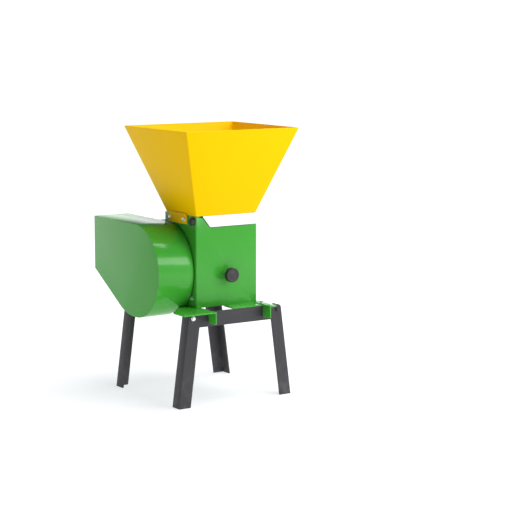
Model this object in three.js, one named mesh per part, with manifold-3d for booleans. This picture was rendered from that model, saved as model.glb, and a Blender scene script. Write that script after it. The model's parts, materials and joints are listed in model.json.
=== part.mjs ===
// Electric walnut cracker: a sheet hopper over a fluted drum and a hinged jaw,
// belt driven by a motor, on an angle-iron stand.
// Millimetres, +Z up. While it is laid out, x = 0 is the outer face of the left cheek,
// y = 0 the outer face of the front panel and z = 0 the floor.

import * as THREE from "three";
import { mergeVertices } from "three/addons/utils/BufferGeometryUtils.js";
import Module from "manifold-3d";

const wasm = await Module();
wasm.setup();

// ---- Driving dimensions ---------------------------------------------------------------

const GAP = 0.3; // between pieces that touch
const RUNNING_GAP = 0.4; // around shafts and screws
const SLIDE_GAP = 1; // beside a part that slides or swings

const HOUSING_WIDTH = 194;
const HOUSING_HEIGHT = 248;
const CHEEK_WALL = 6;
const CHEEK_TOP_CUT = 37; // how far the cheeks' top edge stops short of the back
const CHEEK_SHOULDER = { drop: 28, slope: 40 }; // the cut-off corner behind it
const PANEL_WALL = 3;

const STAND_HEIGHT = 255;
const STAND_FRONT_REACH = 46;
const STAND_DEPTH = 350;
const STAND_SIDE_REACH = 49;
const LEG_LEAN = 0.133; // sideways run for each unit of drop
const LEG_CORNER_RADIUS = 9;
const ANGLE_FLANGE = 36;
const ANGLE_WALL = 4;
const RAIL_FLANGE = 40;

const BEARER = { wall: 4, drop: 34, nose: 79, pastCradle: 6, flangeInset: 12, cope: 12 };
const LEFT_BEARER = { wing: 85, slant: 72, guardRoom: 4, strip: 24 };
const RIGHT_BEARER = { strip: 14 };

const NOTCH = { drop: 32, footX: 43, topX: 22, earDrop: 5 };
const FLAP = { left: 91, reach: 42, wall: 3 };

const HOPPER = { rise: 230, collar: 4, wall: 2.5, topWidth: 353, topDepth: 333, depth: 160 };
const TAB = { front: 42, length: 98, height: 28, above: 4, wall: 3, corner: 8, boltInset: 14 };

const GATE = { wall: 2.4, left: 30, length: 150, sideMargin: 12 };
const GUIDE_WALL = 2.6;

const DRUM = { radius: 55, front: 81, rearRoom: 9, flutes: 28, fluteDepth: 3 };
const SHAFT_RADIUS = 12.5;
const SHAFT_REACH = { left: 92, right: 34 };
const BEARING = { radius: 33, neck: 24, nose: 22, width: 26, flange: 7 };

const BIG_PULLEY = {
  radius: 95,
  width: 22,
  web: 7,
  hub: 26,
  spokes: 5,
  spokeHole: 19,
  sink: 0.6, // how far it reaches below the housing's foot
};
const SMALL_PULLEY = { radius: 32, width: 22 };
const PULLEY_X = -65; // middle of both pulleys and of the belt
const GROOVE = { depth: 11, bottom: 5.2, top: 7.5 };
const RIM_WALL = 6;
const BELT = { width: 9, height: 7, inset: 1 };

const CRACKING_GAP = 14.9; // between the drum and the jaw at rest
const JAW = { pivotBack: 15, pivotDrop: 14, reach: 29.7, wall: 10, hub: 7.5, teeth: 13 };
const TOOTH = { depth: 2, ramp: 0.8 };
const AXLE_RADIUS = 5;
const AXLE_CAP = { radius: 11.5, width: 9 }; // pushed on the left end
const AXLE_CLIP = { radius: 8, width: 2.6 }; // sprung on the right end

const SCREW = { radius: 7, below: 8.4, stickOut: 33, boss: 14, bossLength: 15 };
const PAD = { radius: 9, length: 8 };
const KNOB = { radius: 20, width: 14, lobes: 24, lobeDepth: 1 };
const LOCK_NUT = { radius: 13, width: 6 };

const GUARD = {
  pulleyRoom: 33, // from the big pulley's rim to its outside
  face: 111, // distance of its outer face from the cheek
  wall: 2,
  rearReach: 65, // behind the motor's axis
  rearDrop: 62, // its low rear corner, below the motor's axis
  slope: THREE.MathUtils.degToRad(30.5),
  belly: 150,
  notchRise: 0.7,
  notchMargin: 3, // clear of the left bearer's strip
};
const STANDOFF = { radius: 5, pulleyRoom: 20, upperTurn: 131.5, lowerTurn: 217, cornerInset: 7.7 };

const MOTOR = {
  behind: 105, // its axis behind the housing
  rise: 135.4,
  radius: 66,
  x: 20,
  length: 160,
  fins: 28,
  finHeight: 4,
};
const SHIELD = { wall: 12, radius: 66 };
const FAN = { radius: 52, width: 18, blades: 9, blade: 2, hubWall: 6, room: 3 };
const FAN_COVER = { width: 34, wall: 2, holes: 10, holeRing: 38, holeRadius: 7 };
const MOTOR_SHAFT_RADIUS = 9.5;
const MOTOR_FOOT = { width: 100, depth: 130, wall: 8 };
const CRADLE = { wall: 4, depth: 110, overlap: 12 };
const CAPACITOR_BOX = { width: 84, depth: 40, height: 62 };

const SWITCH_BOX = { y: 112, tabRoom: 7.6, depth: 62, height: 58, width: 38 };
const BUTTON = { radius: 10, length: 9, inside: 5, travel: 3, spacing: 28 };
const GLAND = { bore: 3.5, nut: 10, nutLength: 8, neck: 8, tip: 7, length: 16 };

const BOLT = { radius: 3, head: 5.6, headHeight: 4.2, pastWall: 5 };

// ---- Places worked out from them --------------------------------------------------------

const BASE_Z = STAND_HEIGHT + GAP + BEARER.wall + GAP;
const TOP_Z = BASE_Z + HOUSING_HEIGHT;
const MID_X = HOUSING_WIDTH / 2;
const INNER = { left: CHEEK_WALL, right: HOUSING_WIDTH - CHEEK_WALL };
const STAND = {
  left: -STAND_SIDE_REACH,
  right: HOUSING_WIDTH + STAND_SIDE_REACH,
  front: -STAND_FRONT_REACH,
  rear: STAND_DEPTH - STAND_FRONT_REACH,
};
const DRUM_AXIS = [DRUM.front + DRUM.radius, BASE_Z + BIG_PULLEY.radius - BIG_PULLEY.sink];
const HOUSING_DEPTH = DRUM_AXIS[0] + DRUM.radius + DRUM.rearRoom;
const CHEEK_TOP_DEPTH = HOUSING_DEPTH - CHEEK_TOP_CUT;
const MOTOR_AXIS = [HOUSING_DEPTH + MOTOR.behind, BASE_Z + MOTOR.rise];
const GUARD_RADIUS = BIG_PULLEY.radius + GUARD.pulleyRoom;
const JAW_AXIS = [JAW.pivotBack, TOP_Z - JAW.pivotDrop];
const SCREW_AXIS = [MID_X, DRUM_AXIS[1] - SCREW.below];
const NOTCH_Z = TOP_Z - NOTCH.drop;
const HOPPER_Z = TOP_Z + GAP;
const BEARER_Z = STAND_HEIGHT + GAP;
const BEARER_REAR = MOTOR_AXIS[0] + CRADLE.depth / 2 + BEARER.pastCradle;
const GATE_TOP = TOP_Z - GAP;
const GATE_Z = GATE_TOP - GATE.wall;
const FLANGES = { left: BEARER.flangeInset, right: HOUSING_WIDTH - 2 * BEARER.wall };

// ---- Materials ----------------------------------------------------------------------------

const paint = (colour, roughness) =>
  new THREE.MeshStandardMaterial({ color: colour, roughness, metalness: 0 });
const metal = (colour, roughness) =>
  new THREE.MeshStandardMaterial({ color: colour, roughness, metalness: 1 });

const MATERIALS = {
  greenPaint: paint(0x4bae3f, 0.35),
  yellowPaint: paint(0xfbd800, 0.35),
  blackPaint: paint(0x3c3a3e, 0.55),
  blackPlastic: paint(0x353236, 0.5),
  greyPlastic: paint(0x5a5c5e, 0.5),
  redPlastic: paint(0xb8201c, 0.4),
  greenPlastic: paint(0x1f8a3c, 0.4),
  beltRubber: paint(0x1a1a1a, 0.85),
  motorPaint: paint(0x4a5560, 0.5),
  zinc: metal(0xd9dcdd, 0.3),
  steel: metal(0x9a9c9e, 0.4),
  castIron: metal(0x4c4e50, 0.65),
};

// ---- Shape helpers --------------------------------------------------------------------------

const TAU = 2 * Math.PI;
const QUARTER = Math.PI / 2;
const MERGE_TOLERANCE = 1e-4;

// A closed geometry as a solid that can be joined and cut.
function toSolid(geometry) {
  const bare = geometry.clone();
  bare.deleteAttribute("normal");
  bare.deleteAttribute("uv");
  const merged = mergeVertices(bare, MERGE_TOLERANCE);
  const index = merged.index.array;
  const corners = [];
  for (let i = 0; i < index.length; i += 3) {
    const [a, b, c] = [index[i], index[i + 1], index[i + 2]];
    if (a !== b && b !== c && c !== a) corners.push(a, b, c);
  }
  const mesh = new wasm.Mesh({
    numProp: 3,
    vertProperties: new Float32Array(merged.attributes.position.array),
    triVerts: new Uint32Array(corners),
  });
  return new wasm.Manifold(mesh);
}

function toGeometry(solid) {
  const mesh = solid.getMesh();
  const geometry = new THREE.BufferGeometry();
  geometry.setAttribute("position", new THREE.BufferAttribute(mesh.vertProperties, 3));
  geometry.setIndex(new THREE.BufferAttribute(mesh.triVerts, 1));
  geometry.computeVertexNormals();
  return geometry;
}

function join(...geometries) {
  const solids = geometries.map(toSolid);
  return toGeometry(solids.reduce((whole, piece) => whole.add(piece)));
}

function cut(geometry, ...tools) {
  const solids = tools.map(toSolid);
  return toGeometry(solids.reduce((whole, tool) => whole.subtract(tool), toSolid(geometry)));
}

function box([x0, x1], [y0, y1], [z0, z1]) {
  const geometry = new THREE.BoxGeometry(x1 - x0, y1 - y0, z1 - z0);
  return geometry.translate((x0 + x1) / 2, (y0 + y1) / 2, (z0 + z1) / 2);
}

function polygon(points) {
  return new THREE.Shape(points.map(([u, v]) => new THREE.Vector2(u, v)));
}

function extrude(shape, depth, curveSegments) {
  return new THREE.ExtrudeGeometry(shape, { depth, curveSegments, bevelEnabled: false });
}

// A (y, z) outline pushed from x0 to x1.
function alongX(shape, [x0, x1], curveSegments = 12) {
  const turn = new THREE.Matrix4().makeBasis(
    new THREE.Vector3(0, 1, 0), new THREE.Vector3(0, 0, 1), new THREE.Vector3(1, 0, 0));
  return extrude(shape, x1 - x0, curveSegments).applyMatrix4(turn).translate(x0, 0, 0);
}

// An (x, z) outline pushed from y0 to y1.
function alongY(shape, [y0, y1], curveSegments = 12) {
  const turn = new THREE.Matrix4().makeBasis(
    new THREE.Vector3(1, 0, 0), new THREE.Vector3(0, 0, 1), new THREE.Vector3(0, -1, 0));
  return extrude(shape, y1 - y0, curveSegments).applyMatrix4(turn).translate(0, y1, 0);
}

// An (x, y) outline pushed from z0 to z1.
function alongZ(shape, [z0, z1], curveSegments = 12) {
  return extrude(shape, z1 - z0, curveSegments).translate(0, 0, z0);
}

// A round bar on an axis along x through (y, z).
function barX(radius, [x0, x1], [y, z], segments = 32) {
  const bar = new THREE.CylinderGeometry(radius, radius, x1 - x0, segments);
  return bar.rotateZ(-QUARTER).translate((x0 + x1) / 2, y, z);
}

// A round bar on an axis along y through (x, z).
function barY(radius, [y0, y1], [x, z], segments = 32) {
  const bar = new THREE.CylinderGeometry(radius, radius, y1 - y0, segments);
  return bar.translate(x, (y0 + y1) / 2, z);
}

// A closed outline of [radius, height] points turned into a ring about the y axis.
function turned(outline, segments = 48) {
  const loop = [...outline, outline[0]].map(([r, h]) => new THREE.Vector2(r, h));
  return new THREE.LatheGeometry(loop, segments);
}

// The same ring on an axis along x through (y, z); heights become x.
function turnedX(outline, [y, z], segments) {
  return turned(outline, segments).rotateZ(-QUARTER).translate(0, y, z);
}

// A hexagon bolt whose shank points along `way` from the face it is screwed to.
function bolt(place, way, shank) {
  const head = new THREE.CylinderGeometry(BOLT.head, BOLT.head, BOLT.headHeight, 6);
  head.translate(0, BOLT.headHeight / 2 + GAP, 0);
  const stem = new THREE.CylinderGeometry(BOLT.radius, BOLT.radius, shank + 1, 12);
  stem.translate(0, GAP + (1 - shank) / 2, 0);
  const facing = new THREE.Quaternion().setFromUnitVectors(
    new THREE.Vector3(0, -1, 0), new THREE.Vector3(...way));
  return join(head, stem).applyQuaternion(facing).translate(...place);
}

// The hole that such a bolt goes through, from `from` over `length` along `way`.
function boltHole(from, way, length) {
  const hole = new THREE.CylinderGeometry(BOLT.radius + GAP, BOLT.radius + GAP, length, 12);
  const facing = new THREE.Quaternion().setFromUnitVectors(
    new THREE.Vector3(0, 1, 0), new THREE.Vector3(...way));
  hole.translate(0, length / 2, 0);
  return hole.applyQuaternion(facing).translate(...from);
}

// ---- The model and its list of pieces --------------------------------------------------------

const machine = new THREE.Group();

function add(name, material, geometry) {
  const piece = new THREE.Mesh(geometry, MATERIALS[material]);
  piece.name = name;
  machine.add(piece);
}

// ---- Stand -----------------------------------------------------------------------------------

const LEG_BOLT_INSET = 13;
const LEG_BOLT_DROP = 13;
const HOLE_REACH = 12; // how far a bolt hole's cutter goes, past both walls

const LEGS = {
  front_left_leg: { x: STAND.left, y: STAND.front, alongX: 1, alongY: 1 },
  front_right_leg: { x: STAND.right, y: STAND.front, alongX: -1, alongY: 1 },
  rear_left_leg: { x: STAND.left, y: STAND.rear, alongX: 1, alongY: -1 },
  rear_right_leg: { x: STAND.right, y: STAND.rear, alongX: -1, alongY: -1 },
};

function legBoltPlace({ x, y, alongX: inX }) {
  const z = STAND_HEIGHT - LEG_BOLT_DROP;
  return [x - inX * LEG_LEAN * LEG_BOLT_DROP + inX * LEG_BOLT_INSET, y, z];
}

// An angle with its corner outwards, its feet cut level and its top outer corner rounded.
function leg(place) {
  const { x, y, alongX: inX, alongY: inY } = place;
  const corner = polygon([
    [0, 0],
    [inX * ANGLE_FLANGE, 0],
    [inX * ANGLE_FLANGE, inY * ANGLE_WALL],
    [inX * ANGLE_WALL, inY * ANGLE_WALL],
    [inX * ANGLE_WALL, inY * ANGLE_FLANGE],
    [0, inY * ANGLE_FLANGE],
  ]);
  const angle = alongZ(corner, [0, STAND_HEIGHT]);
  const lean = new THREE.Matrix4().makeShear(0, 0, 0, 0, inX * LEG_LEAN, 0);
  angle.applyMatrix4(lean).translate(x - inX * LEG_LEAN * STAND_HEIGHT, y, 0);
  const round = new THREE.Shape();
  const low = STAND_HEIGHT - LEG_CORNER_RADIUS;
  const inside = x + inX * (LEG_CORNER_RADIUS - LEG_LEAN * LEG_CORNER_RADIUS);
  round.moveTo(x - inX * LEG_CORNER_RADIUS, low);
  round.lineTo(inside - inX * LEG_CORNER_RADIUS, low);
  round.absarc(inside, low, LEG_CORNER_RADIUS, inX > 0 ? Math.PI : 0, QUARTER, inX > 0);
  round.lineTo(inside, STAND_HEIGHT + 1);
  round.lineTo(x - inX * LEG_CORNER_RADIUS, STAND_HEIGHT + 1);
  const [y0, y1] = [y - inY, y + inY * (ANGLE_FLANGE + 1)].sort((a, b) => a - b);
  const rounding = alongY(round, [y0, y1], 6);
  const hole = boltHole(legBoltPlace({ ...place, y: y - inY }), [0, inY, 0], HOLE_REACH);
  return cut(angle, rounding, hole);
}

// An angle between two legs, its standing flange against theirs and its foot at the bottom.
function rail(y, inY) {
  const outer = y + inY * (ANGLE_WALL + GAP);
  const foot = STAND_HEIGHT - RAIL_FLANGE;
  const section = polygon([
    [outer, foot],
    [outer + inY * ANGLE_FLANGE, foot],
    [outer + inY * ANGLE_FLANGE, foot + ANGLE_WALL],
    [outer + inY * ANGLE_WALL, foot + ANGLE_WALL],
    [outer + inY * ANGLE_WALL, STAND_HEIGHT],
    [outer, STAND_HEIGHT],
  ]);
  const inset = ANGLE_WALL + GAP;
  const body = alongX(section, [STAND.left + inset, STAND.right - inset]);
  const holes = Object.values(LEGS).filter((place) => place.y === y).map((place) =>
    boltHole(legBoltPlace({ ...place, y: y - inY }), [0, inY, 0], HOLE_REACH));
  return cut(body, ...holes);
}

for (const [name, place] of Object.entries(LEGS)) {
  const { alongY: inY } = place;
  add(name, "blackPaint", leg(place));
  const shank = 2 * ANGLE_WALL + BOLT.pastWall;
  add(`${name}_bolt`, "zinc", bolt(legBoltPlace(place), [0, inY, 0], shank));
}
add("front_rail", "blackPaint", rail(STAND.front, 1));
add("rear_rail", "blackPaint", rail(STAND.rear, -1));

// The flange hanging under a bearer, coped where it crosses the rails.
function bearerFlange(x) {
  const z = [BEARER_Z - BEARER.drop + BEARER.wall, BEARER_Z + BEARER.wall];
  const nose = STAND.front + ANGLE_WALL;
  const tail = STAND.rear - ANGLE_WALL;
  const width = [x, x + BEARER.wall];
  return [
    box(width, [-BEARER.nose, nose], z),
    box(width, [nose + BEARER.cope, tail - BEARER.cope], z),
    box(width, [tail, BEARER_REAR], z),
  ];
}

const BEARER_BOLT_X = HOUSING_WIDTH + 5;
const BEARER_BOLT_Y = -20;
const WING_BACK = DRUM_AXIS[0] - LEFT_BEARER.guardRoom
  - Math.sqrt(GUARD_RADIUS ** 2 - (DRUM_AXIS[1] - BEARER_Z) ** 2);

function leftBearer() {
  const z = [BEARER_Z, BEARER_Z + BEARER.wall];
  const right = FLANGES.left + BEARER.wall;
  const strip = box([-LEFT_BEARER.strip, right], [-BEARER.nose, BEARER_REAR], z);
  const outline = polygon([
    [-LEFT_BEARER.wing, -BEARER.nose],
    [right, -BEARER.nose],
    [right, WING_BACK],
    [-LEFT_BEARER.strip, WING_BACK],
    [-LEFT_BEARER.wing, WING_BACK - LEFT_BEARER.slant],
  ]);
  return join(alongZ(outline, z), strip, ...bearerFlange(FLANGES.left));
}

function rightBearer() {
  const z = [BEARER_Z, BEARER_Z + BEARER.wall];
  const right = HOUSING_WIDTH + RIGHT_BEARER.strip;
  const strip = box([FLANGES.right, right], [-BEARER.nose, BEARER_REAR], z);
  const hole = boltHole([BEARER_BOLT_X, BEARER_BOLT_Y, z[1] + 1], [0, 0, -1], HOLE_REACH);
  return cut(join(strip, ...bearerFlange(FLANGES.right)), hole);
}

add("left_bearer", "greenPaint", leftBearer());
add("right_bearer", "greenPaint", rightBearer());
add("right_bearer_bolt", "zinc",
  bolt([BEARER_BOLT_X, BEARER_BOLT_Y, BEARER_Z + BEARER.wall], [0, 0, -1],
    BEARER.wall + BOLT.pastWall));

// ---- Housing ---------------------------------------------------------------------------------

const CHEEK_BOLT = { y: 22, rise: 24 };
const CHEEK_FRONT = PANEL_WALL + GAP;

function cheek([x0, x1]) {
  const outline = polygon([
    [CHEEK_FRONT, BASE_Z],
    [HOUSING_DEPTH, BASE_Z],
    [HOUSING_DEPTH, TOP_Z - CHEEK_SHOULDER.drop - CHEEK_SHOULDER.slope],
    [CHEEK_TOP_DEPTH, TOP_Z - CHEEK_SHOULDER.drop],
    [CHEEK_TOP_DEPTH, TOP_Z],
    [CHEEK_FRONT, TOP_Z],
  ]);
  const past = [x0 - 1, x1 + 1];
  return cut(
    alongX(outline, [x0, x1]),
    barX(SHAFT_RADIUS + SLIDE_GAP, past, DRUM_AXIS),
    barX(AXLE_RADIUS + GAP, past, JAW_AXIS, 16),
    boltHole([x0 - 1, CHEEK_BOLT.y, BASE_Z + CHEEK_BOLT.rise], [1, 0, 0], HOLE_REACH));
}

// The front panel: an ear at its left, a notch that the gate's flange fills, rounded front
// edges, and a flap folded forward over the front rail.
function frontPanel() {
  const flapRight = FLANGES.right - GAP;
  const outline = polygon([
    [0, BASE_Z],
    [FLAP.left, BASE_Z],
    [FLAP.left, BEARER_Z],
    [flapRight, BEARER_Z],
    [flapRight, BASE_Z],
    [HOUSING_WIDTH, BASE_Z],
    [HOUSING_WIDTH, NOTCH_Z],
    [NOTCH.footX, NOTCH_Z],
    [NOTCH.topX, TOP_Z - NOTCH.earDrop],
    [0, TOP_Z],
  ]);
  const face = alongY(outline, [0, PANEL_WALL]);
  const plan = new THREE.Shape();
  const round = PANEL_WALL - GAP;
  plan.moveTo(0, PANEL_WALL + 1);
  plan.lineTo(0, round);
  plan.absarc(round, round, round, Math.PI, Math.PI + QUARTER, false);
  plan.lineTo(HOUSING_WIDTH - round, 0);
  plan.absarc(HOUSING_WIDTH - round, round, round, -QUARTER, 0, false);
  plan.lineTo(HOUSING_WIDTH, PANEL_WALL + 1);
  const rounded = toSolid(face).intersect(toSolid(alongZ(plan, [0, TOP_Z + 1], 4)));
  const flap = box([FLAP.left, flapRight], [-FLAP.reach, PANEL_WALL],
    [BEARER_Z, BEARER_Z + FLAP.wall]);
  const bore = barY(SCREW.radius + RUNNING_GAP, [-1, PANEL_WALL + 1], SCREW_AXIS, 24);
  return cut(join(toGeometry(rounded), flap), bore);
}

const REAR_PANEL = { wall: 3, lift: 4 };

function rearPanel() {
  const top = TOP_Z - CHEEK_SHOULDER.drop - CHEEK_SHOULDER.slope;
  return box([INNER.left + GAP, INNER.right - GAP],
    [HOUSING_DEPTH - REAR_PANEL.wall, HOUSING_DEPTH], [BASE_Z + REAR_PANEL.lift, top]);
}

// A plate behind the drum's crown that keeps the nuts on its jaw side.
const DEFLECTOR = { wall: 3, clearance: 5 };

function feedDeflector() {
  const y = HOPPER.depth;
  const behindAxis = y - DRUM_AXIS[0];
  const crown = DRUM_AXIS[1] + Math.sqrt(DRUM.radius ** 2 - behindAxis ** 2);
  return box([INNER.left + GAP, INNER.right - GAP], [y, y + DEFLECTOR.wall],
    [crown + DEFLECTOR.clearance, GATE_Z - 2 * GUIDE_WALL]);
}

add("left_cheek", "greenPaint", cheek([0, INNER.left]));
add("right_cheek", "greenPaint", cheek([INNER.right, HOUSING_WIDTH]));
add("left_cheek_bolt", "zinc",
  bolt([0, CHEEK_BOLT.y, BASE_Z + CHEEK_BOLT.rise], [1, 0, 0], CHEEK_WALL + BOLT.pastWall));
add("front_panel", "greenPaint", frontPanel());
add("rear_panel", "greenPaint", rearPanel());
add("feed_deflector", "steel", feedDeflector());

// ---- Hopper ----------------------------------------------------------------------------------

const HOPPER_TOP = HOPPER_Z + HOPPER.rise;

// A four-sided funnel on a short collar, inset by `wall` from its outer face.
function funnel(wall, low, high) {
  const half = (size) => size / 2 - wall;
  const ring = (width, depth, z) => {
    const [x, y] = [half(width), half(depth)];
    const middleY = HOPPER.depth / 2;
    return [[-x, -y], [x, -y], [x, y], [-x, y]].map(([u, v]) => [MID_X + u, middleY + v, z]);
  };
  const corners = [
    ...ring(HOUSING_WIDTH, HOPPER.depth, low),
    ...ring(HOUSING_WIDTH, HOPPER.depth, HOPPER_Z + HOPPER.collar),
    ...ring(HOPPER.topWidth, HOPPER.topDepth, HOPPER_TOP),
    ...ring(HOPPER.topWidth, HOPPER.topDepth, high),
  ];
  const faces = [0, 2, 1, 0, 3, 2];
  const layers = corners.length / 4 - 1;
  for (let layer = 0; layer < layers; layer += 1) {
    for (let side = 0; side < 4; side += 1) {
      const a = 4 * layer + side;
      const b = 4 * layer + (side + 1) % 4;
      faces.push(a, b, b + 4, a, b + 4, a + 4);
    }
  }
  const top = 4 * layers;
  faces.push(top, top + 1, top + 2, top, top + 2, top + 3);
  const geometry = new THREE.BufferGeometry();
  geometry.setAttribute("position", new THREE.Float32BufferAttribute(corners.flat(), 3));
  geometry.setIndex(faces);
  return geometry;
}

const HOPPER_RIM = 4; // a straight lip at the hopper's mouth

function hopper() {
  return cut(funnel(0, HOPPER_Z, HOPPER_TOP + HOPPER_RIM),
    funnel(HOPPER.wall, HOPPER_Z - 1, HOPPER_TOP + HOPPER_RIM + 1));
}

const TAB_BOLTS = [TAB.front + TAB.boltInset, TAB.front + TAB.length - TAB.boltInset];
const TAB_BOLT_Z = TOP_Z - (TAB.height - TAB.above) / 2;
const TAB_STAND_OFF = 4 * GAP; // clears the flare of the hopper's wall

// A round-cornered plate that ties the hopper to a cheek.
function hopperTab([x0, x1]) {
  const [y0, y1] = [TAB.front, TAB.front + TAB.length];
  const [z0, z1] = [TOP_Z + TAB.above - TAB.height, TOP_Z + TAB.above];
  const r = TAB.corner;
  const outline = new THREE.Shape();
  outline.moveTo(y0 + r, z0);
  outline.lineTo(y1 - r, z0);
  outline.absarc(y1 - r, z0 + r, r, -QUARTER, 0, false);
  outline.absarc(y1 - r, z1 - r, r, 0, QUARTER, false);
  outline.absarc(y0 + r, z1 - r, r, QUARTER, 2 * QUARTER, false);
  outline.absarc(y0 + r, z0 + r, r, 2 * QUARTER, 3 * QUARTER, false);
  const holes = TAB_BOLTS.map((y) => boltHole([x0 - 1, y, TAB_BOLT_Z], [1, 0, 0], HOLE_REACH));
  return cut(alongX(outline, [x0, x1], 4), ...holes);
}

const LEFT_TAB = [-TAB_STAND_OFF - TAB.wall, -TAB_STAND_OFF];
const RIGHT_TAB = LEFT_TAB.map((x) => HOUSING_WIDTH - x).reverse();

add("hopper", "yellowPaint", hopper());
add("left_hopper_tab", "yellowPaint", hopperTab(LEFT_TAB));
add("right_hopper_tab", "yellowPaint", hopperTab(RIGHT_TAB));
for (const [end, y] of [["front", TAB_BOLTS[0]], ["rear", TAB_BOLTS[1]]]) {
  add(`left_tab_${end}_bolt`, "zinc", bolt([LEFT_TAB[0], y, TAB_BOLT_Z], [1, 0, 0], TAB.wall));
}

// ---- Slide gate ------------------------------------------------------------------------------

const GATE_RIGHT = INNER.right - GATE.sideMargin / 2;
const GUIDE_FRONT = JAW_AXIS[0] + JAW.hub + SLIDE_GAP;

// A flat plate with its front edge bent down to fill the front panel's notch.
function slideGate() {
  const plate = box([GATE.left, GATE_RIGHT], [0, GATE.length], [GATE_Z, GATE_TOP]);
  const slant = (NOTCH.footX - NOTCH.topX) / (NOTCH.drop - NOTCH.earDrop);
  const foot = NOTCH_Z + SLIDE_GAP;
  const footX = NOTCH.footX + 2 * SLIDE_GAP;
  const flange = polygon([
    [footX, foot],
    [HOUSING_WIDTH - SLIDE_GAP, foot],
    [HOUSING_WIDTH - SLIDE_GAP, GATE_TOP],
    [footX - slant * (GATE_TOP - foot), GATE_TOP],
  ]);
  return join(plate, alongY(flange, [0, GATE.wall]));
}

// A ledge along each cheek that the gate slides on.
function gateGuide([x0, x1]) {
  const z = GATE_Z - GAP;
  return box([x0, x1], [GUIDE_FRONT, HOPPER.depth], [z - GUIDE_WALL, z]);
}

add("slide_gate", "zinc", slideGate());
add("left_gate_guide", "greenPaint",
  gateGuide([INNER.left + GAP, GATE.left + GATE.sideMargin / 2]));
add("right_gate_guide", "greenPaint",
  gateGuide([GATE_RIGHT - GATE.sideMargin / 2, INNER.right - GAP]));

// ---- Drum, its shaft and bearings ------------------------------------------------------------

// The outline of a round piece with `count` teeth: each is one tooth's points, as the share
// of a tooth's pitch and the radius there.
function toothed(count, points) {
  const outline = [];
  for (let tooth = 0; tooth < count; tooth += 1) {
    for (const [share, radius] of points) {
      const angle = TAU * (tooth + share) / count;
      outline.push([radius * Math.cos(angle), radius * Math.sin(angle)]);
    }
  }
  return polygon(outline);
}

// A fluted cylinder, cut through for its shaft.
function drum() {
  const root = DRUM.radius - DRUM.fluteDepth;
  const outline = toothed(DRUM.flutes,
    [[0, DRUM.radius], [0.45, DRUM.radius], [0.55, root], [0.9, root]]);
  const bore = new THREE.Path();
  bore.absarc(0, 0, SHAFT_RADIUS + GAP, 0, TAU, true);
  outline.holes.push(bore);
  const width = [INNER.left + SLIDE_GAP, INNER.right - SLIDE_GAP];
  return alongX(outline, width, 12).translate(0, ...DRUM_AXIS);
}

// A round housing on a flange, against a cheek; `away` is the side that it stands out to.
function bearing(x, away) {
  const bore = SHAFT_RADIUS + RUNNING_GAP;
  const outline = [
    [bore, 0],
    [BEARING.radius, 0],
    [BEARING.radius, BEARING.flange],
    [BEARING.neck, BEARING.flange],
    [BEARING.nose, BEARING.width],
    [bore, BEARING.width],
  ];
  const ring = turnedX(outline, [0, 0], 32);
  if (away < 0) ring.rotateY(Math.PI);
  return ring.translate(x + away * GAP, ...DRUM_AXIS);
}

add("crushing_drum", "castIron", drum());
add("drum_shaft", "steel",
  barX(SHAFT_RADIUS, [-SHAFT_REACH.left, HOUSING_WIDTH + SHAFT_REACH.right], DRUM_AXIS));
add("left_bearing", "castIron", bearing(0, -1));
add("right_bearing", "castIron", bearing(HOUSING_WIDTH, 1));

// ---- Belt drive ------------------------------------------------------------------------------

// The outer part of a grooved wheel's turned outline, centred on x = 0.
function groovedRim({ radius, width }) {
  const half = width / 2;
  const floor = radius - GROOVE.depth;
  return [
    [radius, -half],
    [radius, -GROOVE.top],
    [floor, -GROOVE.bottom],
    [floor, GROOVE.bottom],
    [radius, GROOVE.top],
    [radius, half],
  ];
}

// A cast wheel: a grooved rim, a thin web with round holes, and a hub.
function drumPulley() {
  const { radius, width, web, hub, spokes, spokeHole } = BIG_PULLEY;
  const half = width / 2;
  const bore = SHAFT_RADIUS + GAP;
  const rim = radius - GROOVE.depth - RIM_WALL;
  const outline = [
    [bore, -half], [hub, -half], [hub, -web / 2], [rim, -web / 2], [rim, -half],
    ...groovedRim(BIG_PULLEY),
    [rim, half], [rim, web / 2], [hub, web / 2], [hub, half], [bore, half],
  ];
  const wheel = turnedX(outline, [0, 0], 40);
  const ring = (hub + rim) / 2;
  const holes = [];
  for (let spoke = 0; spoke < spokes; spoke += 1) {
    const angle = TAU * spoke / spokes;
    const place = [ring * Math.cos(angle), ring * Math.sin(angle)];
    holes.push(barX(spokeHole, [-width, width], place, 12));
  }
  return cut(wheel, ...holes).translate(PULLEY_X, ...DRUM_AXIS);
}

function motorPulley() {
  const half = SMALL_PULLEY.width / 2;
  const bore = MOTOR_SHAFT_RADIUS + GAP;
  const outline = [[bore, -half], ...groovedRim(SMALL_PULLEY), [bore, half]];
  return turnedX(outline, MOTOR_AXIS, 28).translate(PULLEY_X, 0, 0);
}

// The loop around both pulleys at the given distance inside their rims.
function beltLoop(inset, target) {
  const [bigR, smallR] = [BIG_PULLEY.radius - inset, SMALL_PULLEY.radius - inset];
  const [dy, dz] = [MOTOR_AXIS[0] - DRUM_AXIS[0], MOTOR_AXIS[1] - DRUM_AXIS[1]];
  const direction = Math.atan2(dz, dy);
  const wrap = Math.acos((bigR - smallR) / Math.hypot(dy, dz));
  target.absarc(...DRUM_AXIS, bigR, direction + wrap, direction - wrap + TAU, false);
  target.absarc(...MOTOR_AXIS, smallR, direction - wrap, direction + wrap, false);
  target.closePath();
  return target;
}

function belt() {
  const loop = beltLoop(BELT.inset, new THREE.Shape());
  loop.holes.push(beltLoop(BELT.inset + BELT.height, new THREE.Path()));
  return alongX(loop, [PULLEY_X - BELT.width / 2, PULLEY_X + BELT.width / 2], 24);
}

add("drum_pulley", "castIron", drumPulley());
add("motor_pulley", "castIron", motorPulley());
add("drive_belt", "beltRubber", belt());

// ---- Belt guard ------------------------------------------------------------------------------

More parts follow.
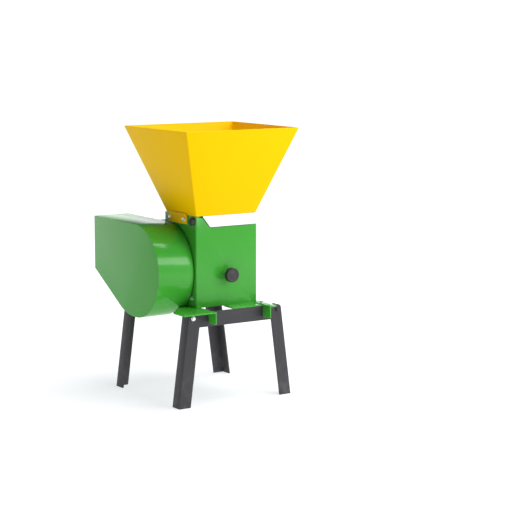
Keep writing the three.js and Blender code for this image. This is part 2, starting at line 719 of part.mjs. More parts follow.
// The guard's side outline, moved in by `inset`: a round nose, a rounded belly, a sloping
// underside and a square rear top corner.
function guardOutline(inset) {
  const [noseY, noseZ] = DRUM_AXIS;
  const low = noseZ - GUARD_RADIUS;
  const { slope, belly } = GUARD;
  const rear = MOTOR_AXIS[0] + GUARD.rearReach;
  const rearLow = MOTOR_AXIS[1] - GUARD.rearDrop;
  const meetY = rear - (rearLow - low) / Math.tan(slope);
  const bellyY = meetY - belly * Math.tan(slope / 2);
  const run = inset * (1 - Math.sin(slope));
  const rearZ = rearLow + inset * Math.cos(slope) - run * Math.tan(slope);
  const shape = new THREE.Shape();
  shape.absarc(noseY, noseZ, GUARD_RADIUS - inset, QUARTER, 3 * QUARTER, false);
  shape.absarc(bellyY, low + belly, belly - inset, 3 * QUARTER, 3 * QUARTER + slope, false);
  shape.lineTo(rear - inset, rearZ);
  shape.lineTo(rear - inset, noseZ + GUARD_RADIUS - inset);
  shape.closePath();
  return shape;
}

const GUARD_RIM_EDGE = -3;
const GUARD_STEPS = 28; // along each curved stretch

function beltGuard() {
  const shell = alongX(guardOutline(0), [-GUARD.face, GUARD_RIM_EDGE], GUARD_STEPS);
  const hollow = alongX(guardOutline(GUARD.wall), [GUARD.wall - GUARD.face, 0], GUARD_STEPS);
  const notch = box([-LEFT_BEARER.strip - GUARD.notchMargin, 0],
    [-GUARD_RADIUS, MOTOR_AXIS[0] + GUARD.rearReach], [0, BASE_Z + GUARD.notchRise]);
  return cut(shell, hollow, notch, tabRoom());
}

// Room for the hopper's tab and its bolts, for a guard that reaches up beside them.
function tabRoom() {
  const outside = LEFT_TAB[0] - GAP - BOLT.headHeight - SLIDE_GAP;
  const under = TOP_Z + TAB.above - TAB.height - SLIDE_GAP;
  return box([outside, 0], [-GUARD_RADIUS, HOPPER.depth + TAB.above], [under, HOPPER_TOP]);
}

function aroundDrum(reach, degrees) {
  const turn = THREE.MathUtils.degToRad(degrees);
  return [DRUM_AXIS[0] + reach * Math.cos(turn), DRUM_AXIS[1] + reach * Math.sin(turn)];
}

const STANDOFF_REACH = BIG_PULLEY.radius + STANDOFF.pulleyRoom;
const STANDOFFS = {
  upper: aroundDrum(STANDOFF_REACH, STANDOFF.upperTurn),
  lower: aroundDrum(STANDOFF_REACH, STANDOFF.lowerTurn),
  rear: [HOUSING_DEPTH - STANDOFF.cornerInset, BASE_Z + STANDOFF.cornerInset],
};

function guardStandoff(place) {
  const reach = [GUARD.wall - GUARD.face + GAP, -GAP];
  return barX(STANDOFF.radius, reach, place, 16);
}

add("belt_guard", "greenPaint", beltGuard());
for (const [where, place] of Object.entries(STANDOFFS)) {
  add(`${where}_guard_standoff`, "steel", guardStandoff(place));
}

// ---- Jaw and its axle ------------------------------------------------------------------------

const JAW_RUN = DRUM_AXIS[0] - JAW_AXIS[0];
const JAW_RISE = JAW_AXIS[1] - DRUM_AXIS[1];
const JAW_LEAN = Math.atan2(JAW_RUN, JAW_RISE)
  - Math.asin((DRUM.radius + CRACKING_GAP + JAW.wall / 2) / Math.hypot(JAW_RUN, JAW_RISE));
const JAW_LENGTH = (JAW_RISE + JAW.reach) / Math.cos(JAW_LEAN);

// A toothed plate hanging from a tube; its toothed face leans towards the drum.
function jaw() {
  const half = JAW.wall / 2;
  const pitch = (JAW_LENGTH - 4 * JAW.hub) / JAW.teeth;
  const face = [];
  for (let tooth = 0; tooth < JAW.teeth; tooth += 1) {
    const z = -JAW_LENGTH + tooth * pitch;
    face.push([half, z], [half - TOOTH.depth, z + TOOTH.ramp * pitch]);
  }
  const outline = polygon([
    [-half, 0], [-half, -JAW_LENGTH], ...face, [half, -JAW_LENGTH + JAW.teeth * pitch], [half, 0],
  ]);
  const width = [INNER.left + SLIDE_GAP, INNER.right - SLIDE_GAP];
  const past = [width[0] - 1, width[1] + 1];
  const hub = barX(JAW.hub, width, [0, 0], 24);
  const bore = barX(AXLE_RADIUS + RUNNING_GAP, past, [0, 0], 24);
  const plate = cut(join(alongX(outline, width), hub), bore);
  return plate.rotateX(JAW_LEAN).translate(0, ...JAW_AXIS);
}

function axleEnd({ radius, width }, x, away) {
  const ends = [x + away * (2 * GAP), x + away * width].sort((a, b) => a - b);
  return barX(radius, ends, JAW_AXIS, 24);
}

add("jaw_plate", "castIron", jaw());
add("jaw_axle", "steel", barX(AXLE_RADIUS, [0, HOUSING_WIDTH], JAW_AXIS, 24));
add("left_axle_cap", "blackPlastic", axleEnd(AXLE_CAP, 0, -1));
add("right_axle_clip", "zinc", axleEnd(AXLE_CLIP, HOUSING_WIDTH, 1));

// ---- Gap adjuster ----------------------------------------------------------------------------

const PAD_GAP = 0.9; // before the jaw's back, room for it to tilt
const JAW_BACK = JAW_AXIS[0] + (JAW_AXIS[1] - SCREW_AXIS[1]) * Math.tan(JAW_LEAN)
  - JAW.wall / 2 / Math.cos(JAW_LEAN);
const PAD_TIP = JAW_BACK - PAD_GAP - PAD.radius / 2 * Math.tan(JAW_LEAN);
const PAD_BACK = PAD_TIP - PAD.length;

// A domed button that the screw pushes against the jaw's back.
function thrustPad() {
  const dome = PAD.radius / 2;
  const outline = [
    [0, 0], [PAD.radius, 0], [PAD.radius, PAD.length - dome], [dome, PAD.length - dome / 4],
    [0, PAD.length],
  ].map(([r, h]) => new THREE.Vector2(r, h));
  const button = new THREE.LatheGeometry(outline, 24);
  return button.translate(SCREW_AXIS[0], PAD_BACK, SCREW_AXIS[1]);
}

// A knob with shallow grip lobes, on an axis along y.
function knob() {
  const middle = KNOB.radius - KNOB.lobeDepth / 2;
  const low = KNOB.radius - KNOB.lobeDepth;
  const outline = toothed(KNOB.lobes, [[0, KNOB.radius], [1 / 4, middle], [1 / 2, low],
    [3 / 4, middle]]);
  const bore = new THREE.Path();
  bore.absarc(0, 0, SCREW.radius + GAP, 0, TAU, true);
  outline.holes.push(bore);
  const depth = [-SCREW.stickOut, KNOB.width - SCREW.stickOut];
  return alongY(outline, depth, 6).translate(SCREW_AXIS[0], 0, SCREW_AXIS[1]);
}

function ringY(outer, bore, [y0, y1], segments) {
  const ring = turned([[bore, y0], [outer, y0], [outer, y1], [bore, y1]], segments);
  return ring.translate(SCREW_AXIS[0], 0, SCREW_AXIS[1]);
}

function lockNut() {
  const nut = barY(LOCK_NUT.radius, [-LOCK_NUT.width - GAP, -GAP], SCREW_AXIS, 6);
  return cut(nut, barY(SCREW.radius + RUNNING_GAP, [-2 * LOCK_NUT.width, 1], SCREW_AXIS, 24));
}

add("thrust_pad", "steel", thrustPad());
add("adjusting_screw", "steel",
  barY(SCREW.radius, [1 - SCREW.stickOut, PAD_BACK - GAP], SCREW_AXIS, 24));
add("adjusting_knob", "blackPlastic", knob());
add("lock_nut", "zinc", lockNut());
add("screw_boss", "steel", ringY(SCREW.boss, SCREW.radius + RUNNING_GAP,
  [PANEL_WALL + GAP, PANEL_WALL + SCREW.bossLength], 24));

// ---- Motor -----------------------------------------------------------------------------------

const MOTOR_ENDS = [MOTOR.x, MOTOR.x + MOTOR.length];
const FOOT_Z = MOTOR_AXIS[1] - MOTOR.radius - MOTOR.finHeight - MOTOR_FOOT.wall;

// A ribbed stator shell, bored for the rotor's shaft, standing on a foot.
function motorBody() {
  const [axisY, axisZ] = MOTOR_AXIS;
  const tip = MOTOR.radius + MOTOR.finHeight;
  const outline = toothed(MOTOR.fins,
    [[0, tip], [0.3, tip], [0.4, MOTOR.radius], [0.9, MOTOR.radius]]);
  const shell = alongX(outline, MOTOR_ENDS).translate(0, ...MOTOR_AXIS);
  const middle = (MOTOR_ENDS[0] + MOTOR_ENDS[1]) / 2;
  const footX = [middle - MOTOR_FOOT.width / 2, middle + MOTOR_FOOT.width / 2];
  const foot = box(footX, [axisY - MOTOR_FOOT.depth / 2, axisY + MOTOR_FOOT.depth / 2],
    [FOOT_Z, FOOT_Z + MOTOR_FOOT.wall]);
  const web = box(footX, [axisY - MOTOR.radius / 2, axisY + MOTOR.radius / 2],
    [FOOT_Z, axisZ - MOTOR.radius / 2]);
  const past = [MOTOR_ENDS[0] - 1, MOTOR_ENDS[1] + 1];
  return cut(join(shell, foot, web), barX(MOTOR_SHAFT_RADIUS + SLIDE_GAP, past, MOTOR_AXIS, 20));
}

function endShield([x0, x1]) {
  const bore = MOTOR_SHAFT_RADIUS + RUNNING_GAP;
  const outline = [[bore, x0], [SHIELD.radius, x0], [SHIELD.radius, x1], [bore, x1]];
  return turnedX(outline, MOTOR_AXIS, 40);
}

const COVER_X = MOTOR_ENDS[1] + SHIELD.wall + 2 * GAP;
const FAN_X = COVER_X + FAN.room;

// Straight blades on a hub.
function motorFan() {
  const bore = MOTOR_SHAFT_RADIUS + GAP;
  const hubRadius = bore + FAN.hubWall;
  const hub = turnedX([[bore, 0], [hubRadius, 0], [hubRadius, FAN.width], [bore, FAN.width]],
    [0, 0], 24);
  const blades = [];
  for (let blade = 0; blade < FAN.blades; blade += 1) {
    const plate = box([0, FAN.width], [hubRadius - 1, FAN.radius], [-FAN.blade / 2, FAN.blade / 2]);
    blades.push(plate.rotateX(TAU * blade / FAN.blades));
  }
  return join(hub, ...blades).translate(FAN_X, ...MOTOR_AXIS);
}

// A cup over the fan with round air holes in its end.
function fanCover() {
  const start = COVER_X;
  const end = start + FAN_COVER.width;
  const { wall, holeRing, holeRadius } = FAN_COVER;
  const outer = SHIELD.radius;
  const cup = barX(outer, [start, end], MOTOR_AXIS, 40);
  const hollow = barX(outer - wall, [start - 1, end - wall], MOTOR_AXIS, 40);
  const holes = [];
  for (let hole = 0; hole < FAN_COVER.holes; hole += 1) {
    const angle = TAU * hole / FAN_COVER.holes;
    const [y, z] = [holeRing * Math.cos(angle), holeRing * Math.sin(angle)];
    holes.push(barX(holeRadius, [start, end + 1], [MOTOR_AXIS[0] + y, MOTOR_AXIS[1] + z], 10));
  }
  return cut(cup, hollow, ...holes);
}

// A folded bridge on the two bearers.
function motorCradle() {
  const top = FOOT_Z - GAP;
  const foot = BEARER_Z + BEARER.wall + GAP;
  const [y0, y1] = [MOTOR_AXIS[0] - CRADLE.depth / 2, MOTOR_AXIS[0] + CRADLE.depth / 2];
  const { wall } = CRADLE;
  const section = polygon([
    [y0, foot], [y0 + wall, foot], [y0 + wall, top - wall], [y1 - wall, top - wall],
    [y1 - wall, foot], [y1, foot], [y1, top], [y0, top],
  ]);
  return alongX(section,
    [FLANGES.left - CRADLE.overlap, FLANGES.right + BEARER.wall + CRADLE.overlap / 2]);
}

const CAPACITOR_Y = MOTOR_AXIS[0] + MOTOR.radius + MOTOR.finHeight + GAP;

function capacitorBox() {
  const middle = (MOTOR_ENDS[0] + MOTOR_ENDS[1]) / 2;
  return box([middle - CAPACITOR_BOX.width / 2, middle + CAPACITOR_BOX.width / 2],
    [CAPACITOR_Y, CAPACITOR_Y + CAPACITOR_BOX.depth],
    [MOTOR_AXIS[1] - CAPACITOR_BOX.height / 2, MOTOR_AXIS[1] + CAPACITOR_BOX.height / 2]);
}

add("motor_body", "motorPaint", motorBody());
add("motor_drive_shield", "motorPaint",
  endShield([MOTOR_ENDS[0] - GAP - SHIELD.wall, MOTOR_ENDS[0] - GAP]));
add("motor_fan_shield", "motorPaint",
  endShield([MOTOR_ENDS[1] + GAP, MOTOR_ENDS[1] + GAP + SHIELD.wall]));
add("motor_shaft", "steel",
  barX(MOTOR_SHAFT_RADIUS, [PULLEY_X - SMALL_PULLEY.width / 2 - 4, FAN_X + FAN.width],
    MOTOR_AXIS, 24));
add("motor_fan", "blackPlastic", motorFan());
add("fan_cover", "motorPaint", fanCover());
add("motor_cradle", "greenPaint", motorCradle());
add("capacitor_box", "blackPlastic", capacitorBox());

// ---- Switch ----------------------------------------------------------------------------------

const SWITCH_X = [HOUSING_WIDTH + GAP, HOUSING_WIDTH + GAP + SWITCH_BOX.width];
const SWITCH_TOP = TOP_Z + TAB.above - TAB.height - SWITCH_BOX.tabRoom;
const SWITCH_Z = SWITCH_TOP - SWITCH_BOX.height;
const SWITCH_MIDDLE = [SWITCH_BOX.y + SWITCH_BOX.depth / 2, SWITCH_TOP - SWITCH_BOX.height / 2];
const buttonAxis = (side) => [SWITCH_MIDDLE[0] + side * BUTTON.spacing / 2, SWITCH_MIDDLE[1]];

function switchBox() {
  const shell = box(SWITCH_X, [SWITCH_BOX.y, SWITCH_BOX.y + SWITCH_BOX.depth],
    [SWITCH_Z, SWITCH_TOP]);
  const depth = [SWITCH_X[1] - BUTTON.inside - BUTTON.travel - SLIDE_GAP, SWITCH_X[1] + 1];
  const holes = [-1, 1].map((side) => barX(BUTTON.radius + GAP, depth, buttonAxis(side), 24));
  return cut(shell, ...holes);
}

function button(side) {
  const ends = [SWITCH_X[1] - BUTTON.inside, SWITCH_X[1] - BUTTON.inside + BUTTON.length];
  return barX(BUTTON.radius, ends, buttonAxis(side), 24);
}

// The cable's way into the switch box, hanging under it.
function cableGland() {
  const top = SWITCH_Z - GAP;
  const { bore, nut, nutLength, neck, tip, length } = GLAND;
  const outline = [[bore, top - length], [tip, top - length], [neck, top - nutLength],
    [nut, top - nutLength], [nut, top], [bore, top]];
  const gland = turned(outline, 16).rotateX(QUARTER);
  return gland.translate((SWITCH_X[0] + SWITCH_X[1]) / 2, SWITCH_MIDDLE[0], 0);
}

add("switch_box", "greyPlastic", switchBox());
add("start_button", "greenPlastic", button(-1));
add("stop_button", "redPlastic", button(1));
add("cable_gland", "blackPlastic", cableGland());

// The finished frame has its origin at the middle of the floor under the machine.
const bounds = new THREE.Box3().setFromObject(machine);
machine.position.set(
  -(bounds.min.x + bounds.max.x) / 2, -(bounds.min.y + bounds.max.y) / 2, -bounds.min.z);

export default machine;
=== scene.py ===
"""Electric walnut cracker: fine meshes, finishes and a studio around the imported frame."""

import json
import math

import bmesh
import bpy
from bpy.props import FloatProperty, FloatVectorProperty, IntProperty, PointerProperty
from mathutils import Matrix, Vector

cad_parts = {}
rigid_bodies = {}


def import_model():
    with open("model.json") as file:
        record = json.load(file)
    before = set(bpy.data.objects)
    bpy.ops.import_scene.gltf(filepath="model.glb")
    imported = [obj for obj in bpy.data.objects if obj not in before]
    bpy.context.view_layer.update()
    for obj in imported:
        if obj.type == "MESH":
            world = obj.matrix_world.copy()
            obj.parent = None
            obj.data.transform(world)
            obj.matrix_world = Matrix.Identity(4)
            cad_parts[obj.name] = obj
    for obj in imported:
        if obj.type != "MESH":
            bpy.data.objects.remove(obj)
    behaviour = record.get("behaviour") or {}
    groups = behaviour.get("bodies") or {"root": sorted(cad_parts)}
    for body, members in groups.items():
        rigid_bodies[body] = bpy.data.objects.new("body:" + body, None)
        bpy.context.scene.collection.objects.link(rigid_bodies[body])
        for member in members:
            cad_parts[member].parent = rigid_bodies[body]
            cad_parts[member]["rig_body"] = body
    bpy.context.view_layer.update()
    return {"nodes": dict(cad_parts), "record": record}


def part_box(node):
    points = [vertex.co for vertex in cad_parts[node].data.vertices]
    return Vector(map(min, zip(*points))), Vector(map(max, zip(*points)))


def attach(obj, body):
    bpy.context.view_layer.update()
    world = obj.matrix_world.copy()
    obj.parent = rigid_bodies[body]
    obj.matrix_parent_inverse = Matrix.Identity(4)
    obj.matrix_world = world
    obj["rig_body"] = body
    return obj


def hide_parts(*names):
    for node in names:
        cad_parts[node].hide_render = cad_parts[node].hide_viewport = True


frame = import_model()

bl_info = {
    "name": "Walnut Cracker",
    "version": (1, 0, 0),
    "blender": (4, 5, 0),
    "location": "3D View > Sidebar > Walnut Cracker",
    "description": "Builds the visible pieces of an electric walnut cracker on its frame",
    "category": "Object",
}

MM = 0.001
TAU = 2 * math.pi
MERGE = 0.003 * MM  # vertices closer than this are one
FLAT = math.radians(0.4)  # faces that turn less than this are one
SHARP = math.radians(33)  # an edge that turns more than this is rounded
SLOT_OF = {part["node"]: part["material_slot"] for part in frame["record"]["subparts"]}
BODY_OF = {name: node["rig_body"] for name, node in frame["nodes"].items()}


# ---- Sizes and colours that a user would change ------------------------------


def colour(name, description, default):
    return FloatVectorProperty(
        name=name, description=description, default=default, subtype="COLOR", min=0, max=1
    )


def length(name, description, default):
    return FloatProperty(name=name, description=description, default=default, unit="LENGTH")


class WALNUT_PG_finishes(bpy.types.PropertyGroup):
    """Colours and gloss of the painted, plated and moulded surfaces."""

    green: colour("Green enamel", "Housing, guard and bearers", (0.052, 0.375, 0.034))
    yellow: colour("Yellow enamel", "Hopper and its tabs", (0.94, 0.57, 0.0))
    black: colour("Black enamel", "Stand", (0.047, 0.044, 0.050))
    motor: colour("Motor enamel", "Motor and its shields", (0.069, 0.091, 0.117))
    plastic: colour("Black plastic", "Knob, caps and fan", (0.030, 0.027, 0.030))
    grey: colour("Grey plastic", "Switch box", (0.10, 0.11, 0.11))
    red: colour("Red plastic", "Stop button", (0.48, 0.014, 0.012))
    start: colour("Green plastic", "Start button", (0.013, 0.255, 0.045))
    rubber: colour("Rubber", "Drive belt", (0.012, 0.012, 0.012))
    zinc: colour("Zinc plate", "Bolts and slide gate", (0.90, 0.91, 0.91))
    steel: colour("Bright steel", "Shafts, screw and pad", (0.42, 0.43, 0.44))
    iron: colour("Cast iron", "Drum, jaw, pulleys and bearings", (0.10, 0.104, 0.107))
    gloss: FloatProperty(
        name="Enamel roughness", description="0 is a mirror", default=0.16, min=0.05, max=0.9
    )
    # Scales the chips along edges, which are wear, and the lightening there, which is partly
    # thin paint and partly a painted edge highlight.
    wear_and_highlight: FloatProperty(
        name="Edge wear", description="How much the enamel thins on edges", default=0.35,
        min=0, max=1,
    )


class WALNUT_PG_edges(bpy.types.PropertyGroup):
    """Radii that the bends, edges and castings are rounded to."""

    sheet: length("Sheet edge", "Radius of cut sheet edges", 0.7 * MM)
    fold: length("Fold", "Radius of a folded corner", 3 * MM)
    angle: length("Rolled angle", "Radius on the angle iron", 1.3 * MM)
    casting: length("Casting", "Radius on castings", 1.2 * MM)
    moulding: length("Moulding", "Radius on moulded plastic", 1.6 * MM)
    machined: length("Machined edge", "Chamfer on turned parts", 0.6 * MM)
    segments: IntProperty(
        name="Segments", description="Faces across each rounded edge", default=3, min=1, max=6
    )


class WALNUT_PG_studio(bpy.types.PropertyGroup):
    """The camera, the lights and the floor."""

    target: FloatVectorProperty(
        name="Target", description="Point at the middle of the picture",
        default=(0.1092, -0.1644, 0.3871), subtype="TRANSLATION", unit="LENGTH",
    )
    yaw: FloatProperty(
        name="Yaw", description="Turn of the view from +Y towards +X",
        default=math.radians(33.3), subtype="ANGLE",
    )
    pitch: FloatProperty(
        name="Pitch", description="How far the camera looks down",
        default=math.radians(8.1), subtype="ANGLE",
    )
    distance: length("Distance", "From the camera to the target", 4.5308)
    lens: FloatProperty(
        name="Focal length", description="On a 36 mm sensor", default=115.97, unit="CAMERA"
    )
    key: FloatProperty(name="Key light", description="Power in watts", default=30)
    top: FloatProperty(name="Top light", description="Power in watts", default=84)
    sky: FloatProperty(name="Room light", description="Brightness of the room", default=0.5)


class WALNUT_PG_settings(bpy.types.PropertyGroup):
    """All the settings of the walnut cracker."""

    finishes: PointerProperty(type=WALNUT_PG_finishes)
    edges: PointerProperty(type=WALNUT_PG_edges)
    studio: PointerProperty(type=WALNUT_PG_studio)


def settings():
    return bpy.context.scene.walnut_cracker


# ---- Finishes ----------------------------------------------------------------


class Number:
    """A number in a shader tree: a sum written in Python adds the Math nodes."""

    def __init__(self, shader, socket):
        self.shader = shader
        self.socket = socket

    def math(self, operation, *values, clamp=False):
        how = {"operation": operation, "use_clamp": clamp}
        return self.shader.number("Math", how, dict(enumerate(values)), 0)

    def __add__(self, other):
        return self.math("ADD", self, other)

    def __sub__(self, other):
        return self.math("SUBTRACT", self, other)

    def __rsub__(self, other):
        return self.math("SUBTRACT", other, self)

    def __mul__(self, other):
        return self.math("MULTIPLY", self, other)

    __radd__ = __add__
    __rmul__ = __mul__

    def clamped(self):
        return self.math("ADD", self, 0, clamp=True)

    def step(self, low, high):
        """0 below low, 1 above high and a soft rise between them."""
        how = {"interpolation_type": "SMOOTHSTEP"}
        values = {"Value": self, "From Min": low, "From Max": high}
        return self.shader.number("MapRange", how, values, "Result")


class Shader:
    """A material, and the nodes that make its finish."""

    def __init__(self, name, tree=None):
        if tree is None:
            self.material = bpy.data.materials.new(name)
            self.material.use_nodes = True
            tree = self.material.node_tree
        self.tree = tree
        self.tree.nodes.clear()

    def node(self, kind, how, inputs):
        """A node of that type, with its settings first and then its sockets."""
        node = self.tree.nodes.new("ShaderNode" + kind)
        for key, value in how.items():
            setattr(node, key, value)
        for key, value in inputs.items():
            socket = node.inputs[key]
            if isinstance(value, Number):
                self.tree.links.new(value.socket, socket)
            elif isinstance(value, bpy.types.NodeSocket):
                self.tree.links.new(value, socket)
            elif socket.type == "RGBA" and len(value) == 3:
                socket.default_value = (*value, 1)
            else:
                socket.default_value = value
        return node

    def number(self, kind, how, inputs, output):
        return Number(self, self.node(kind, how, inputs).outputs[output])

    def spot(self):
        return self.node("TexCoord", {}, {}).outputs["Object"]

    def place(self, stretch=(1, 1, 1)):
        return self.node("Mapping", {}, {"Vector": self.spot(), "Scale": stretch}).outputs[0]

    def dot(self, first, second):
        how = {"operation": "DOT_PRODUCT"}
        return self.number("VectorMath", how, {0: first, 1: second}, "Value")

    def noise(self, scale, detail=2, stretch=(1, 1, 1), roughness=0.5):
        inputs = {
            "Vector": self.place(stretch), "Scale": scale, "Detail": detail,
            "Roughness": roughness,
        }
        return self.number("TexNoise", {}, inputs, "Fac")

    def cells(self, scale):
        inputs = {"Vector": self.place(), "Scale": scale}
        return self.number("TexVoronoi", {}, inputs, "Distance")

    def height(self):
        return self.number("SeparateXYZ", {}, {"Vector": self.spot()}, "Z")

    def edge(self, radius):
        """1 along an edge of the shape, 0 on its flats."""
        soft = self.node("Bevel", {"samples": 6}, {"Radius": radius}).outputs["Normal"]
        true = self.node("NewGeometry", {}, {}).outputs["Normal"]
        return (1 - self.dot(soft, true)).step(0.01, 0.12)

    def mix(self, share, first, second):
        how = {"data_type": "RGBA"}
        inputs = {"Factor": share, 6: first, 7: second}
        return self.node("Mix", how, inputs).outputs[2]

    def bump(self, height, distance, strength=1.0):
        inputs = {"Height": height, "Distance": distance, "Strength": strength}
        return self.node("Bump", {}, inputs).outputs[0]

    def surface(self, **inputs):
        names = {key.replace("_", " "): value for key, value in inputs.items()}
        shade = self.node("BsdfPrincipled", {}, names)
        self.node("OutputMaterial", {}, {"Surface": shade.outputs[0]})
        return self.material


BARE_STEEL = (0.30, 0.30, 0.29)  # under chipped enamel
POLISHED_IRON = (0.42, 0.42, 0.43)
DUST = (0.34, 0.32, 0.29)
DUST_REACH = 0.12  # how high above the floor it lies, in metres
BELT_DUST = (0.07, 0.065, 0.06)
WHITE = (1, 1, 1)


def shade_of(tone, share):
    return tuple(min(1.0, part * share) for part in tone)


def blended(tone, other, share):
    return tuple(a + (b - a) * share for a, b in zip(tone, other))


def enamel(name, tone, roughness, dust=0.0, gloss=0.34):
    """Sprayed enamel: orange peel, a slow drift of tone, chips along edges, and edges lightened
    towards white, partly thin paint and partly a painted highlight.

    `dust` is how much of it lies low down, and `gloss` the strength of the reflections.
    """
    s = Shader(name)
    drift = s.noise(7, 2)
    mottle = s.noise(60, 3)
    edge = s.edge(1.3 * MM)
    wear_and_highlight = settings().finishes.wear_and_highlight
    # Painted highlight: edges are lightened towards white, partly thinned paint and partly a
    # painted edge highlight.
    thinning_and_highlight = edge * s.noise(35, 3).step(0.25, 0.75) * wear_and_highlight
    chips = edge * s.noise(260, 4).step(0.66, 0.72) * wear_and_highlight
    base = s.mix(drift, shade_of(tone, 0.96), shade_of(tone, 1.04))
    base = s.mix(mottle * 0.06, base, shade_of(tone, 0.8))
    base = s.mix(thinning_and_highlight, base, blended(tone, WHITE, 0.2))
    base = s.mix(chips, base, BARE_STEEL)
    rough = roughness + (drift - 0.5) * 0.05 + (mottle - 0.5) * 0.03
    if dust:
        low = 1 - s.height().step(0.0, DUST_REACH)
        film = low * s.noise(45, 4).step(0.35, 0.8) * dust
        base = s.mix(film, base, DUST)
        rough = rough + film * 0.3
    peel = s.noise(520, 2) * 0.75 + s.noise(1700, 1) * 0.25
    return s.surface(
        Base_Color=base, Roughness=rough.clamped(), Normal=s.bump(peel, 0.01 * MM, 0.25),
        Specular_IOR_Level=gloss,
    )


def plated(name, tone, roughness):
    """Zinc plate: fine crystals, a faint warm and cool drift and dulled edges."""
    s = Shader(name)
    drift = s.noise(18, 2)
    crystal = s.cells(700)
    fine = s.noise(1400, 2, (1, 1, 0.2))
    base = s.mix(drift, blended(tone, (0.75, 0.72, 0.60), 0.15), tone)
    base = s.mix(crystal * 0.25, base, shade_of(tone, 0.8))
    rough = roughness + (drift - 0.5) * 0.12 + crystal * 0.08
    return s.surface(
        Base_Color=base, Metallic=1.0, Roughness=rough.clamped(),
        Normal=s.bump(fine, 0.02 * MM, 0.5),
    )


def turned_steel(name, tone, roughness):
    """Turned steel: fine rings round an x or y axis, an oily film and worn edges."""
    s = Shader(name)
    rings = s.noise(900, 2, (1, 1, 0.04))
    film = s.noise(28, 3)
    base = s.mix(film, shade_of(tone, 0.72), tone)
    base = s.mix(s.edge(0.8 * MM) * 0.5, base, shade_of(tone, 1.4))
    rough = roughness + (film - 0.5) * 0.2 + (rings - 0.5) * 0.1
    return s.surface(
        Base_Color=base, Metallic=1.0, Roughness=rough.clamped(),
        Normal=s.bump(rings, 0.02 * MM, 0.5),
    )


def cast(name, tone, roughness):
    """Cast iron: sand-cast grain, darker and lighter patches at random and edges polished by
    use.
    """
    s = Shader(name)
    grain = s.noise(320, 5, roughness=0.65)
    patch = s.noise(22, 3)
    polished = s.edge(1.5 * MM) * s.noise(60, 2).step(0.3, 0.6)
    base = s.mix(patch, shade_of(tone, 0.7), shade_of(tone, 1.15))
    base = s.mix(polished * 0.7, base, POLISHED_IRON)
    rough = roughness - polished * 0.25 + (grain - 0.5) * 0.2
    return s.surface(
        Base_Color=base, Metallic=0.85, Roughness=rough.clamped(),
        Normal=s.bump(grain, 0.18 * MM, 0.7),
    )


def moulded(name, tone, roughness):
    """Moulded plastic: a fine spark-eroded grain, rubbed shiny on its edges."""
    s = Shader(name)
    grain = s.noise(1600, 3)
    patch = s.noise(30, 2)
    rubbed = s.edge(1.0 * MM) * patch
    base = s.mix(patch, shade_of(tone, 0.88), shade_of(tone, 1.1))
    base = s.mix(rubbed * 0.35, base, blended(tone, WHITE, 0.2))
    rough = roughness + (grain - 0.5) * 0.16 - rubbed * 0.15
    return s.surface(
        Base_Color=base, Roughness=rough.clamped(), Normal=s.bump(grain, 0.04 * MM, 0.6)
    )


def rubber(name, tone):
    """Wrapped belt rubber: a cloth weave, dusty where it runs in the grooves."""
    s = Shader(name)
    weave = s.noise(1100, 1, (1, 0.3, 0.3)) * s.noise(1100, 1, (0.3, 1, 1))
    dusty = s.noise(90, 4)
    base = s.mix(dusty.step(0.45, 0.8) * 0.5, tone, BELT_DUST)
    return s.surface(
        Base_Color=base, Roughness=(0.75 + dusty * 0.2).clamped(),
        Normal=s.bump(weave, 0.15 * MM, 0.8),
    )


def make_finishes():
    """One material for each material slot of the record."""
    f = settings().finishes
    return {
        "green_paint": enamel("green_enamel", f.green, f.gloss),
        "yellow_paint": enamel("yellow_enamel", f.yellow, f.gloss + 0.14, gloss=0.04),
        "black_paint": enamel("black_enamel", f.black, 0.46, dust=0.18),
        "motor_paint": enamel("motor_enamel", f.motor, 0.42),
        "black_plastic": moulded("black_plastic", f.plastic, 0.48),
        "grey_plastic": moulded("grey_plastic", f.grey, 0.45),
        "red_plastic": moulded("red_plastic", f.red, 0.32),
        "green_plastic": moulded("start_green_plastic", f.start, 0.32),
        "belt_rubber": rubber("belt_rubber", f.rubber),
        "zinc": plated("zinc_plate", f.zinc, 0.34),
        "steel": turned_steel("bright_steel", f.steel, 0.3),
        "cast_iron": cast("cast_iron", f.iron, 0.62),
    }


FINISHES = {}


def finish(slot):
    """The slot's material; all of them are made the first time that one is asked for."""
    if not FINISHES:
        FINISHES.update(make_finishes())
    return FINISHES[slot]


# ---- Mesh helpers ------------------------------------------------------------

WAYS = {
    "x": Matrix.Rotation(math.pi / 2, 4, "Y"),
    "-x": Matrix.Rotation(-math.pi / 2, 4, "Y"),
    "y": Matrix.Rotation(-math.pi / 2, 4, "X"),
    "-y": Matrix.Rotation(math.pi / 2, 4, "X"),
    "z": Matrix.Identity(4),
    "-z": Matrix.Rotation(math.pi, 4, "X"),
}
AXIS = {"x": 0, "y": 1, "z": 2}


def outward(way):
    """The unit step along `way`."""
    return WAYS[way].to_3x3() @ Vector((0, 0, 1))


def opposite(way):
    return way[1:] if way.startswith("-") else "-" + way


def at(x, y, z):
    return Vector((x, y, z))


def middle(node):
    low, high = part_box(node)
    return (low + high) / 2


def foot_of(node, way):
    """Where a node that stands out along `way` starts, and its size."""
    low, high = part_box(node)
    foot = (low + high) / 2
    axis = AXIS[way[-1]]
    foot[axis] = high[axis] if way.startswith("-") else low[axis]
    return foot, high - low


def around(centre, reach, count=4):
    """Places round an axis along x, the first half a step above the level."""
    for index in range(count):
        turn = TAU * (index + 0.5) / count
        yield centre + at(0, reach * math.cos(turn), reach * math.sin(turn))


def put(bm, verts, way, place):
    """Turns what was made along +z to point along `way`, and moves it to its place."""
    bmesh.ops.transform(bm, matrix=Matrix.Translation(place) @ WAYS[way], verts=verts)


